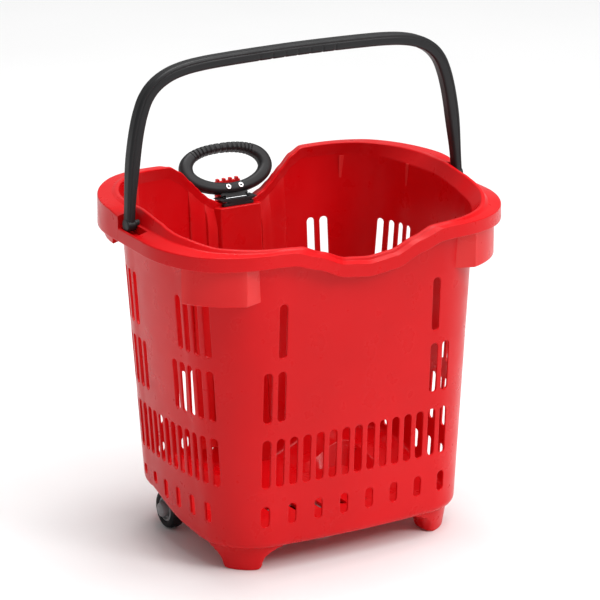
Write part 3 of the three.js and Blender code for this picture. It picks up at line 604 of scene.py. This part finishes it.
def wall_sheet(shape, slots, inset, low_at, high_at):
    """One face of the wall, right round, between two height functions."""
    bottom = [(Vector((arc_at(s), low_at(abs(s)))), s) for s in RING + [5]]
    top = [(Vector((arc_at(s), high_at(abs(s)))), s) for s in RING + [5]]
    bottom[0] = (bottom[0][0], -5)

    def placed(flat, s):
        return flat, at(s, wall(flat.y, inset), flat.y)

    seam = steps_between(low_at(5), high_at(5), 24)[1:]
    left = [placed(Vector((ARC[0], z)), -5) for z in reversed(seam)]
    right = [placed(Vector((ARC[-1], z)), 5) for z in seam]
    border = [placed(*p) for p in bottom] + right + [placed(*p) for p in reversed(top)] + left
    holes = [slot_points(slot, EDGE_ROUND, inset) for slot in slots]
    rings = [slot_points(slot, EDGE_ROUND + 0.7, inset) for slot in slots]
    boxes = [(min(p.x for p, _ in h), max(p.x for p, _ in h), min(p.y for p, _ in h),
              max(p.y for p, _ in h)) for h in holes]
    fill = []
    for i in range(1, 150):
        s = -5 + i / 15
        arc = arc_at(s)
        for z in range(40, 440, 11):
            if low_at(abs(s)) + 4 < z < high_at(abs(s)) - 4 and not near_slot(arc, z, boxes, 2.5):
                fill.append((Vector((arc, z)), at(s, wall(z, inset), z)))
    sheet(shape, border, holes, rings, fill)


def slot_tunnels(shape, slots):
    """Walls through each slot, with both edges eased."""
    t, e = WALL_THICKNESS, EDGE_ROUND
    for slot in slots:
        rows = [[p for _, p in slot_points(slot, grow, depth)]
                for depth, grow in ((0, e), (0.3 * e, 0.3 * e), (e, 0), (t - e, 0),
                                    (t - 0.3 * e, 0.3 * e), (t, e))]
        shape.grid(rows)


def outer_low(s):
    return bottom_at(s) + 9.5


def outer_high(s):
    return ledge_at(s) - 9


def floor_at(s):
    return bottom_at(s) + FLOOR_TOP - FLOOR_UNDER


def inner_low(s):
    return floor_at(s) + 6


def inner_high(s):
    return lip_at(s) - 22


def rim_section(station):
    """Section of the rim from the outer wall over the lip to the inner wall."""
    s = abs(station)
    ledge, lip, skirt = ledge_at(s), lip_at(s), height_at(SKIRT_BOTTOM, s)
    rise = min(6, 0.4 * (lip - ledge))
    low, high = outer_high(s), inner_high(s)
    arris = at(station, RIM, ledge)
    root = at(station, mixed(LIP, RIM, 0.2), ledge + rise)
    pocket = [arris.lerp(root, share) for share in POCKET_SHARES]
    if POCKET_STATIONS[0] < s < POCKET_STATIONS[1]:
        pocket[1].z = pocket[2].z = POCKET_FLOOR
    corners = [
        (at(station, wall(low), low), 0),
        (at(station, wall(ledge - 5), ledge - 5), 2.5),
        (at(station, grown(RIM, -3), ledge - 4), 2),
        (at(station, grown(RIM, -2.6), skirt), 1.2),
        (at(station, grown(RIM, 0.4), skirt), 1.2),
        (arris, 2.6),
    ]
    corners += [(p, 0.7) for p in pocket]
    corners += [
        (root, 4),
        (at(station, LIP, lip), 1.9),
        (at(station, grown(LIP, -4), lip), 1.9),
        (at(station, wall(lip - 16, 3), lip - 16), 5),
        (at(station, wall(high, 3), high), 0),
    ]
    return rounded(corners)


def underside_section(station):
    s = abs(station)
    low, edge = outer_low(s), bottom_at(s)
    return rounded([
        (at(station, wall(low), low), 0),
        (at(station, wall(edge), edge), 8.5),
        (at(station, wall(40, FLOOR_STEP), edge), 3),
        (at(station, wall(40, FLOOR_STEP + 16), FLOOR_UNDER), 0)])


def floor_section(station):
    s = abs(station)
    low, edge = inner_low(s), floor_at(s)
    return rounded([
        (at(station, wall(low, 3), low), 0),
        (at(station, wall(edge, 3), edge), 5.5),
        (at(station, wall(40, FLOOR_STEP - 4), edge), 3),
        (at(station, wall(40, FLOOR_STEP + 12), FLOOR_TOP), 0)])


def skin(shape, section):
    sections = [section(s) for s in RING]
    shape.grid([list(row) for row in zip(*sections)])


def floor_sheet(shape, inset, z):
    ring = [at(s, wall(40, inset), z) for s in RING]
    border = [(Vector((p.x, p.y)), p) for p in ring]
    holes = []
    for x, y in drain_centres():
        loop = drain_loop(x, y, EDGE_ROUND)
        holes.append([(Vector(p), Vector((*p, z))) for p in loop])
    fill = [(Vector((x, y)), Vector((x, y, z))) for x in (-75, -45, -15, 15, 45, 75)
            for y in range(-48, 50, 12)]
    sheet(shape, border, holes, [], fill)


def drain_centres():
    return [(i * 30, y) for i in range(-2, 3) for y in (-44, 4)]


def drain_loop(x, y, grow):
    return [(x + u, y + v) for u, v in rounded_rectangle(4 + grow, 20 + grow, 3.6 + grow, 5)]


def drains(shape):
    e = EDGE_ROUND
    levels = ((FLOOR_UNDER, e), (FLOOR_UNDER + 0.3 * e, 0.3 * e), (FLOOR_UNDER + e, 0),
              (FLOOR_TOP - e, 0), (FLOOR_TOP - 0.3 * e, 0.3 * e), (FLOOR_TOP, e))
    for x, y in drain_centres():
        shape.grid([[Vector((*p, z)) for p in drain_loop(x, y, grow)] for z, grow in levels])


def tub_shell():
    shape = Shape()
    slots = wall_slots()
    skin(shape, rim_section)
    skin(shape, underside_section)
    skin(shape, floor_section)
    wall_sheet(shape, slots, 0, outer_low, outer_high)
    wall_sheet(shape, slots, WALL_THICKNESS, inner_low, inner_high)
    slot_tunnels(shape, slots)
    floor_sheet(shape, FLOOR_STEP + 16, FLOOR_UNDER)
    floor_sheet(shape, FLOOR_STEP + 12, FLOOR_TOP)
    drains(shape)
    piece("tub_shell", shape, "tub_red", "basket", ["basket_tub"])


# -------------------------------------------------------------- tub details

def drawbar_frame():
    return Matrix.Translation((0, DRAWBAR_Y, 0)) @ Matrix.Rotation(-DRAWBAR_LEAN, 4, "X")


def channel():
    """Hollow pilaster of the rear wall that holds the drawbar."""
    shape = Shape()
    plan = [(-33, 11.4, 1.2), (-33, -4.5, 3), (-28.6, -14, 2.2),
            (28.6, -14, 2.2), (33, -4.5, 3), (33, 11.4, 1.2)]
    corners = [(Vector((0, 11.4, 0)), 0)] + [(Vector((x, y, 0)), r) for x, y, r in plan]
    corners.append((Vector((0, 11.4, 0)), 0))
    loop = rounded(corners, 4)[:-1]
    rows = []
    for z, inset in ((35, 1), (36, 0), (150, 0), (250, 0), (371.2, 0), (372.4, 0.5), (373, 1.8)):
        rows.append([Vector((p.x * (1 - inset / 33), p.y + (inset if p.y < 0 else -inset), z))
                     for p in loop])
    shape.loft(rows)
    shape.moved(drawbar_frame())
    piece("tub_channel", shape, "tub_red", "basket")


def wall_pad(shape, x0, x1, depth):
    """Raised strip on the inside of the rear wall, its top following the rim."""
    rows = []
    count = 26
    for r in range(count):
        share = r / (count - 1)
        lift = depth * min(1.0, (count - 1 - r) / 2.0)
        row = []
        for x, out in ((x0, -1.2), (x0, 0.7), (x0 + math.copysign(0.9, x1 - x0), 1.0),
                       ((x0 + x1) / 2, 1.0), (x1 - math.copysign(0.9, x1 - x0), 1.0), (x1, 0.7), (x1, -1.2)):
            top = lip_at(rear_station(abs(x), LIP)) - 10
            z = 66 + (top - 66) * share
            y = outline(5, wall(z, 3))[1] - (lift * out if out > 0 else -1.2)
            row.append(Vector((x, y, z)))
        rows.append(row)
    shape.loft(rows)


def wall_pads():
    shape = Shape()
    for side in (-1, 1):
        wall_pad(shape, side * 31, side * 46, 6.0)
        wall_pad(shape, side * 45, side * 68, 3.0)
    piece("tub_rear_pads", shape, "tub_red", "basket", sharp=30)


def foot(shape, side):
    """Flared foot whose outer face carries on the corner of the tub."""
    profile = [(0, 17), (2, 20), (9, 22), (16, 25), (22, 31), (27, 41), (31, 54), (34, 62)]
    cx, cy = side * FOOT[0], FOOT[1]
    rows = []
    for z, ease in ((0, 1.0), (0.4, 0.3), (1.2, 0.0)) + tuple((2 + i * 1.6, 0.0) for i in range(20)):
        half = curve_at(profile, z) - ease
        limit = wall(z, 12 - 3.0 * min(z, 27) / 27 + ease)
        row = []
        for k in range(56):
            angle = 2 * math.pi * k / 56
            c, s = math.cos(angle), math.sin(angle)
            reach = half / (abs(c) ** 3.2 + abs(s) ** 3.2) ** (1 / 3.2)
            while not inside(cx + reach * c, cy + reach * s, limit) and reach > 1:
                reach -= 0.25
            row.append(Vector((cx + reach * c, cy + reach * s, z)))
        rows.append(row)
    shape.loft(rows)


def curve_at(profile, z):
    """Catmull-Rom value of a table of (z, value)."""
    for i in range(len(profile) - 1):
        if z <= profile[i + 1][0]:
            break
    p0, p1 = profile[max(i - 1, 0)], profile[i]
    p2, p3 = profile[i + 1], profile[min(i + 2, len(profile) - 1)]
    t = (z - p1[0]) / (p2[0] - p1[0])
    m1 = (p2[1] - p0[1]) / max(p2[0] - p0[0], 1e-6) * (p2[0] - p1[0])
    m2 = (p3[1] - p1[1]) / max(p3[0] - p1[0], 1e-6) * (p2[0] - p1[0])
    return ((2 * t ** 3 - 3 * t * t + 1) * p1[1] + (t ** 3 - 2 * t * t + t) * m1
            + (3 * t * t - 2 * t ** 3) * p2[1] + (t ** 3 - t * t) * m2)


def inside(x, y, size):
    """Whether a point is inside an outline, tested against its front corner."""
    width, front, _, radius, _, bow, _ = size
    ax = abs(x)
    if ax > width:
        return False
    if ax <= width - radius:
        u = ax / (width - radius)
        return y > -front - bow * (1 - u * u)
    if y > radius - front:
        return True
    return math.hypot(ax - width + radius, y + front - radius) < radius


def feet():
    shape = Shape()
    for side in (-1, 1):
        foot(shape, side)
    piece("tub_feet", shape, "tub_red", "basket")


def lug(shape, first, last, bottom, top, side):
    """Stacking lug: a wall round three sides of a pocket under the rim."""
    path = [(first, 0.0)] + [(first, 1.0)]
    path += [(first + (last - first) * i / 12, 1.0) for i in range(1, 12)]
    path += [(last, 1.0), (last, 0.0)]
    shrink = 0.03 * (last - first)
    rows = []
    for z, ease in ((bottom, 0.9), (bottom + 0.9, 0), (top, 0)):
        outer, inner = [], []
        for s, out in path:
            inner_s = min(max(s, first + shrink), last - shrink)
            wide, slim = grown(RIM, -8 - ease), grown(RIM, -11 + ease)
            near = wall(360, 1)
            outer.append(at(side * s, wide if out else near, z))
            inner.append(at(side * inner_s, slim if out else near, z))
        rows.append(outer + inner[::-1])
    shape.loft(rows)


def lugs():
    shape = Shape()
    for side in (-1, 1):
        lug(shape, 1.22, 1.68, 346, 396, side)
        lug(shape, 3.05, 3.7, 383, 418, side)
    piece("tub_lugs", shape, "tub_red", "basket")


def rear_block():
    shape = Shape()
    rounded_box(shape, -18, 18, 164.6, 176.4, 350, 381, 1.2, 2.5)
    rounded_box(shape, -18, 18, 172.2, 176.4, 378, 398, 1.0, 1.5)
    for x in (-14, -5, 4, 13):
        rounded_box(shape, x - 2, x + 2, 171.8, 177, 385, 401, 0.7, 0.8)
    piece("tub_rear_block", shape, "tub_red", "basket")


def brackets():
    """Axle brackets with gussets, and the closed boxes under the handle pockets."""
    shape = Shape()
    for side in (-1, 1):
        x0, x1 = sorted((side * 123.5, side * 135))
        rounded_box(shape, x0, x1, WHEEL_Y - 13, WHEEL_Y + 13, 14, 61, 1.2, 2)
        for y in (-13.5, 11.5):
            a, b = sorted((side * 105, side * 125))
            rounded_box(shape, a, b, WHEEL_Y + y, WHEEL_Y + y + 2, 34, 60, 0.7, 0.9)
        turned(shape, arc_profile([(3.5, 0, 0.3), (8, 0, 1.0), (8, 4, 0.2), (3.5, 4, 0.2)]),
               side * 135 - side * 3.2, WHEEL_Y, WHEEL_RADIUS, 48, side)
        a, b = sorted((side * 206, side * 236.5))
        rounded_box(shape, a, b, -32, 13.5, 399, 402.6, 0.8, 2)
    piece("tub_brackets", shape, "tub_red", "basket")


# ------------------------------------------------------------- carry handle

def spline(points, count):
    """Catmull-Rom curve through points, resampled at even spacing."""
    dense = []
    for i in range(len(points) - 1):
        p0, p1 = points[max(i - 1, 0)], points[i]
        p2, p3 = points[i + 1], points[min(i + 2, len(points) - 1)]
        for k in range(24):
            t = k / 24
            dense.append(0.5 * ((2 * p1) + (p2 - p0) * t + (2 * p0 - 5 * p1 + 4 * p2 - p3) * t * t
                                + (3 * p1 - p0 - 3 * p2 + p3) * t ** 3))
    dense.append(points[-1])
    lengths = [0.0]
    for a, b in zip(dense, dense[1:]):
        lengths.append(lengths[-1] + (b - a).length)
    out, j = [], 0
    for i in range(count):
        goal = lengths[-1] * i / (count - 1)
        while j < len(dense) - 2 and lengths[j + 1] < goal:
            j += 1
        t = (goal - lengths[j]) / max(lengths[j + 1] - lengths[j], 1e-9)
        out.append(dense[j].lerp(dense[j + 1], min(max(t, 0), 1)))
    return out


def handle_section(bar, x):
    """Section of the carry handle as (outwards, depth) offsets."""
    half_out = 5.5 + 2.0 * bar
    half_deep = 7.0 + 1.0 * bar
    corners = rounded_rectangle(half_out, half_deep, 3.6, 6)
    points = []
    for i, (u, v) in enumerate(corners):
        points.append((u, v))
        nu, nv = corners[(i + 1) % len(corners)]
        if abs(nu - u) + abs(nv - v) > 3:
            points += [(u + (nu - u) * k / 8, v + (nv - v) * k / 8) for k in range(1, 8)]
    shaped = []
    for u, v in points:
        groove = 0.7 * math.exp(-((u - 0.36 * half_out) / 0.7) ** 2) if abs(v) > half_deep - 0.2 else 0
        v -= math.copysign(groove, v)
        if u < 0.1 * half_out and abs(x) < 68:
            offset = (x / 17.4 + 0.5) % 1 - 0.5
            notch = math.exp(-(offset * 17.4 / 1.3) ** 2)
            v -= math.copysign(0.9 * notch * min(1.0, abs(v) / half_deep), v)
            u += 0.35 * notch * (u < -0.8 * half_out)
        shaped.append((u, v))
    return shaped


def carry_handle():
    shape = Shape()
    right = [Vector((x, z)) for x, z in HANDLE_PATH]
    path = spline([Vector((-p.x, p.y)) for p in right[:0:-1]] + right, 720)
    rows = []
    for i, point in enumerate(path):
        tangent = (path[min(i + 1, 719)] - path[max(i - 1, 0)]).normalized()
        out = Vector((-tangent.y, tangent.x))
        t = i / 719
        bar = smooth(min(max((0.48 - abs(t - 0.5)) / 0.09, 0), 1))
        rows.append([Vector((point.x + out.x * u, v, point.y + out.y * u))
                     for u, v in handle_section(bar, point.x)])
    shape.loft(rows)
    for side in (-1, 1):
        boss = arc_profile([(0.01, -5.6, 0), (8, -5.6, 1.4), (8, 5.6, 1.4), (0.01, 5.6, 0)])
        turned(shape, boss, side * PIVOT.x, 0, 0, 56)
        stud = arc_profile([(0.01, 0, 0), (5, 0, 0.2), (5, 17.6, 0.9), (0.01, 17.6, 0)])
        turned(shape, stud, side * PIVOT.x, 0, 0, 40, -side)
    place = Matrix.Translation((0, PIVOT.y, PIVOT.z)) @ Matrix.Rotation(-HANDLE_LEAN, 4, "X")
    shape.moved(place)
    piece("carry_handle_moulding", shape, "handle_black", "handle", ["carry_handle"])


# ------------------------------------------------------------------ drawbar

def tube(name, body):
    half_x, half_y, thick, bottom, top = TUBES[name]
    shape = Shape()
    e = 0.35
    stations = [(bottom, 0, 1), (bottom + e, 0, 0), (top - e, 0, 0), (top, 0, 1),
                (top, 1, 1), (top - e, 1, 0), (bottom + e, 1, 0), (bottom, 1, 1)]
    rows = []
    for z, inner, eased in stations:
        inset = (thick - e * eased) if inner else e * eased
        loop = rounded_rectangle(half_x - inset, half_y - inset, max(2.2 - inset, 0.5), 5)
        rows.append([Vector((x, y, z)) for x, y in loop])
    shape.grid(rows, wrap=True)
    shape.moved(drawbar_frame())
    piece(name + "_extrusion", shape, "tube_aluminium", body, [name])


def collar_seat():
    """Black sleeve between the pilaster's top and the collar."""
    shape = Shape()
    rounded_box(shape, -22, 22, -9.6, 9, 373.2, 377, 0.5, 3)
    shape.moved(drawbar_frame())
    piece("collar_seat", shape, "collar_black", "basket")


def loop_point(t):
    angle = 2 * math.pi * t - QUARTER
    c, s = math.cos(angle), math.sin(angle)
    power = 1.04 if s < 0 else 0.86
    return Vector((GRIP_HALF_WIDTH * math.copysign(abs(c) ** power, c),
                   GRIP_LIFT + GRIP_HALF_HEIGHT * (1 + math.copysign(abs(s) ** power, s))))


def grip_frame():
    return drawbar_frame() @ Matrix.Translation((0, 0, TUBE_TOP)) @ Matrix.Rotation(-GRIP_LEAN, 4, "X")


def grip_across(t):
    """Half width of the loop's section: slim on top, widest at the sides."""
    s = math.sin(2 * math.pi * t - QUARTER)
    return 9 + ((7 if s < 0 else 6) - 9) * s * s


def grip_notch(t):
    """Depth of the grooves across the loop's top bar, from 0 to 1."""
    offset = (t - 0.5) / 0.0185
    if abs(offset) > 7:
        return 0.0
    return math.exp(-((offset - round(offset)) / 0.13) ** 2)


def grip_half(name, sign):
    """Half shell of the loop, grooved along its top bar."""
    shape = Shape()
    rows = []
    stations = [i / 360 for i in range(360) if abs(i / 360 - 0.5) > 0.14]
    stations = sorted(stations + [0.36 + i * 0.28 / 224 for i in range(225)])
    for t in stations:
        point = loop_point(t)
        tangent = (loop_point(t + 0.0012) - loop_point(t - 0.0012)).normalized()
        out = Vector((tangent.y, -tangent.x))
        notch = grip_notch(t)
        row = []
        for k in range(17):
            angle = math.pi * k / 16
            u = math.copysign(abs(math.cos(angle)) ** 0.75, math.cos(angle))
            v = max(math.sin(angle) ** 0.8, 0.02)
            seam = 0.35 * math.exp(-(v / 0.05) ** 2)
            across = grip_across(t) - 0.1 - seam - 0.8 * notch
            deep = 7.6 - 1.0 * notch
            row.append(Vector((point.x + out.x * u * across, sign * v * deep, point.y + out.y * u * across)))
        rows.append(row)
    shape.grid(rows, wrap=True)
    shape.moved(grip_frame())
    piece(name + "_moulding", shape, "grip_black", "drawbar_inner", [name], sharp=50)


def rivet(side):
    """Tubular rivet with rolled rims at both ends."""
    shape = Shape()
    corners = [(1.3, -8.4, 0.5), (3.5, -8.4, 0.5), (3.5, -7.1, 0.3), (1.9, -7.1, 0.1),
               (1.9, 7.1, 0.1), (3.5, 7.1, 0.3), (3.5, 8.4, 0.5), (1.3, 8.4, 0.5)]
    profile = arc_profile(corners)
    turned(shape, profile, 0, 0, 0, 48)
    turn = Matrix.Rotation(QUARTER, 4, "Z")
    shape.moved(grip_frame() @ Matrix.Translation((side * RIVET_X, 0, GRIP_LIFT)) @ turn)
    label = "left" if side < 0 else "right"
    piece("rivet_" + label, shape, "rivet_metal", "drawbar_inner", ["grip_rivet_" + label])


def eased_copy(node, slot, body, width=0.5, segments=2):
    """The CAD node's own shape with its edges eased, as a new piece."""
    work = bmesh.new()
    work.from_mesh(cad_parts[node].data)
    bmesh.ops.remove_doubles(work, verts=work.verts, dist=2e-6)
    bmesh.ops.dissolve_limit(work, angle_limit=math.radians(2), verts=work.verts, edges=work.edges)
    bmesh.ops.recalc_face_normals(work, faces=work.faces)
    limit = math.radians(40)
    sharp = [e for e in work.edges if len(e.link_faces) == 2 and e.calc_face_angle(0.0) > limit]
    bmesh.ops.bevel(work, geom=sharp, offset=width * MM, segments=segments, profile=0.5,
                    affect="EDGES", clamp_overlap=True)
    for face in work.faces:
        face.smooth = True
    for edge in work.edges:
        edge.smooth = edge.calc_face_angle(0.0) < math.radians(50)
    mesh = bpy.data.meshes.new(node + "_eased")
    work.to_mesh(mesh)
    work.free()
    mesh.materials.clear()
    mesh.materials.append(MATERIALS[slot])
    obj = bpy.data.objects.new(node + "_eased", mesh)
    bpy.context.scene.collection.objects.link(obj)
    modifier = obj.modifiers.new("normals", "WEIGHTED_NORMAL")
    modifier.keep_sharp = True
    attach(obj, body)
    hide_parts(node)


# ------------------------------------------------------------------- wheels

def tread(angle, radius):
    """Shallow cross grooves in the running face."""
    if radius < WHEEL_RADIUS - 2.2:
        return 0.0
    return -0.5 * max(0.0, math.cos(angle * 30)) ** 8


def tyre(side, label):
    r, w, h = WHEEL_RADIUS, WHEEL_WIDTH, HUB_RADIUS
    shape = Shape()
    corners = [(h + 0.3, 1.5, 0.4), (r - 6, 0.2, 1.5), (r - 1.3, 1.8, 2), (r, w * 0.33, 2),
               (r - 0.25, w * 0.42, 0.3), (r - 0.9, w * 0.46, 0.2), (r - 0.9, w * 0.54, 0.2),
               (r - 0.25, w * 0.58, 0.3), (r, w * 0.67, 2), (r - 1.3, w - 1.8, 2),
               (r - 6, w - 0.2, 1.5), (h + 0.3, w - 1.5, 0.4)]
    turned(shape, arc_profile(corners, 3), side * WHEEL_INNER, WHEEL_Y, r, 180, side, tread)
    piece("tyre_" + label, shape, "tyre_black", "wheel_" + label, ["wheel_tyre_" + label], sharp=45)


def hub(side, label):
    """Dished hub with six spokes in its outer face."""
    r, w, h = WHEEL_RADIUS, WHEEL_WIDTH, HUB_RADIUS
    shape = Shape()
    rim = [(3.4, 0.6, 0.3), (7, 0.6, 0.4), (7, 4, 0.8), (12, 4, 0.8), (12.6, 0.8, 0.5), (h, 2.2, 0.6),
           (h, w - 2.2, 0.6), (h - 2.4, w - 1.0, 0.5), (h - 3.2, w - 4.4, 0.6), (8, w - 5.4, 0.6),
           (6.6, w - 3.5, 0.5), (3.4, w - 3.5, 0.3)]
    turned(shape, arc_profile(rim, 3), side * WHEEL_INNER, WHEEL_Y, r, 96, side)
    for k in range(6):
        spoke = Shape()
        rounded_box(spoke, -1.1, 1.1, 6.5, 12.6, 0, 2.6, 0.5, 0.5)
        turn = (Matrix.Translation((side * (WHEEL_INNER + w - 5.8), WHEEL_Y, r))
                @ Matrix.Rotation(k * math.pi / 3, 4, "X") @ Matrix.Rotation(side * QUARTER, 4, "Y"))
        spoke.moved(turn)
        shape.add(spoke.verts, spoke.faces)
    piece("hub_" + label, shape, "hub_grey", "wheel_" + label, ["wheel_hub_" + label], sharp=40)


def axle_end(side, label):
    """Domed cap outside the hub and washer inside it."""
    shape = Shape()
    cap = [(3.3, 0, 0.2), (9.5, 0, 0.4), (9.5, 4.6, 1.5), (8.4, 7.6, 1.5), (4.5, 9.5, 2), (0.01, 9.8, 0),
           (0.01, 6.6, 0), (3.3, 6.6, 0.2)]
    outer = side * (WHEEL_INNER + WHEEL_WIDTH - 3)
    turned(shape, arc_profile(cap, 4), outer, WHEEL_Y, WHEEL_RADIUS, 72, side)
    piece("cap_" + label, shape, "hub_grey", "basket", ["axle_cap_" + label], sharp=40)

    shape = Shape()
    ring = [(3.4, 0, 0.15), (7, 0, 0.3), (7, 1.2, 0.3), (3.4, 1.2, 0.15)]
    turned(shape, arc_profile(ring, 2), side * (WHEEL_INNER - 1.6), WHEEL_Y, WHEEL_RADIUS, 64, side)
    piece("washer_" + label, shape, "steel", "basket", ["axle_washer_" + label])


def wheel(side):
    label = "left" if side < 0 else "right"
    tyre(side, label)
    hub(side, label)
    axle_end(side, label)


def axle():
    shape = Shape()
    rod = [(0.01, -AXLE_END, 0), (AXLE_RADIUS, -AXLE_END, 0.5),
           (AXLE_RADIUS, AXLE_END, 0.5), (0.01, AXLE_END, 0)]
    turned(shape, arc_profile(rod, 3), 0, WHEEL_Y, WHEEL_RADIUS, 40)
    piece("axle", shape, "steel", "basket", ["axle_rod"])


# -------------------------------------------------------------------- stage

AZIMUTH = math.radians(-30.4)
ELEVATION = math.radians(17.6)
DISTANCE = 4.0
PIXEL_SIZE = 0.001221
TARGET = Vector((0.0025, -0.0169, 0.2878))


def camera():
    back = Vector((math.sin(AZIMUTH) * math.cos(ELEVATION),
                   -math.cos(AZIMUTH) * math.cos(ELEVATION), math.sin(ELEVATION)))
    data = bpy.data.cameras.new("camera")
    data.sensor_width = 36
    data.lens = DISTANCE / PIXEL_SIZE * data.sensor_width / 600
    data.clip_end = 50
    cam = bpy.data.objects.new("camera", data)
    cam.location = TARGET + back * DISTANCE
    cam.rotation_mode = "QUATERNION"
    cam.rotation_quaternion = (-back).to_track_quat("-Z", "Y")
    bpy.context.scene.collection.objects.link(cam)
    bpy.context.scene.camera = cam


def lamp(name, place, size, power):
    data = bpy.data.lights.new(name, "AREA")
    data.shape = "DISK"
    data.size = size
    data.energy = power
    obj = bpy.data.objects.new(name, data)
    obj.location = place
    obj.rotation_euler = (Vector((0, 0, 0.3)) - Vector(place)).to_track_quat("-Z", "Y").to_euler()
    bpy.context.scene.collection.objects.link(obj)


def floor():
    material, tree, shader = new_material("floor", 0.6)
    stops = [(0.3, (0.88, 0.88, 0.88)), (0.7, (0.9, 0.9, 0.9))]
    tree.links.new(ramp(tree, noise(tree, 2.0, 2.0), stops), shader.inputs["Base Color"])
    mesh = bpy.data.meshes.new("floor")
    mesh.from_pydata([(-15, -15, 0), (15, -15, 0), (15, 15, 0), (-15, 15, 0)], [], [(0, 1, 2, 3)])
    mesh.materials.append(material)
    plane = bpy.data.objects.new("floor", mesh)
    bpy.context.scene.collection.objects.link(plane)


def lights():
    """White surroundings, two soft lamps and a wide overhead light."""
    world = bpy.data.worlds.new("studio")
    world.use_nodes = True
    background = world.node_tree.nodes["Background"]
    background.inputs["Color"].default_value = (1, 1, 1, 1)
    background.inputs["Strength"].default_value = 0.36
    bpy.context.scene.world = world
    lamp("key", (1.3, -2.5, 2.1), 1.0, 34)
    lamp("top", (0.1, 0.4, 3.0), 1.6, 40)
    sun = bpy.data.lights.new("sky", "SUN")
    sun.energy = 2.0
    sun.angle = math.radians(60)
    obj = bpy.data.objects.new("sky", sun)
    obj.rotation_euler = (math.radians(14), math.radians(16), 0)
    bpy.context.scene.collection.objects.link(obj)


# -------------------------------------------------------------------- build

bpy.context.scene.view_settings.view_transform = "Standard"
camera()
floor()
lights()
tub_shell()
channel()
wall_pads()
feet()
lugs()
rear_block()
brackets()
carry_handle()
tube("drawbar_sleeve", "basket")
tube("drawbar_middle_tube", "drawbar_middle")
tube("drawbar_inner_tube", "drawbar_inner")
collar_seat()
grip_half("grip_front", -1)
grip_half("grip_rear", 1)
rivet(-1)
rivet(1)
for wheel_side in (-1, 1):
    wheel(wheel_side)
axle()
eased_copy("rear_cover", "cover_red", "basket", 0.8, 3)
eased_copy("guide_collar", "collar_black", "basket", 0.7, 3)
eased_copy("grip_stem", "collar_black", "drawbar_inner", 0.3)
eased_copy("middle_tube_plug", "collar_black", "drawbar_middle", 0.3)
eased_copy("inner_tube_plug", "collar_black", "drawbar_inner", 0.3)
for end in ("left", "right"):
    for row in (1, 2, 3):
        eased_copy(f"cover_screw_{end}_{row}", "steel", "basket", 0.25)
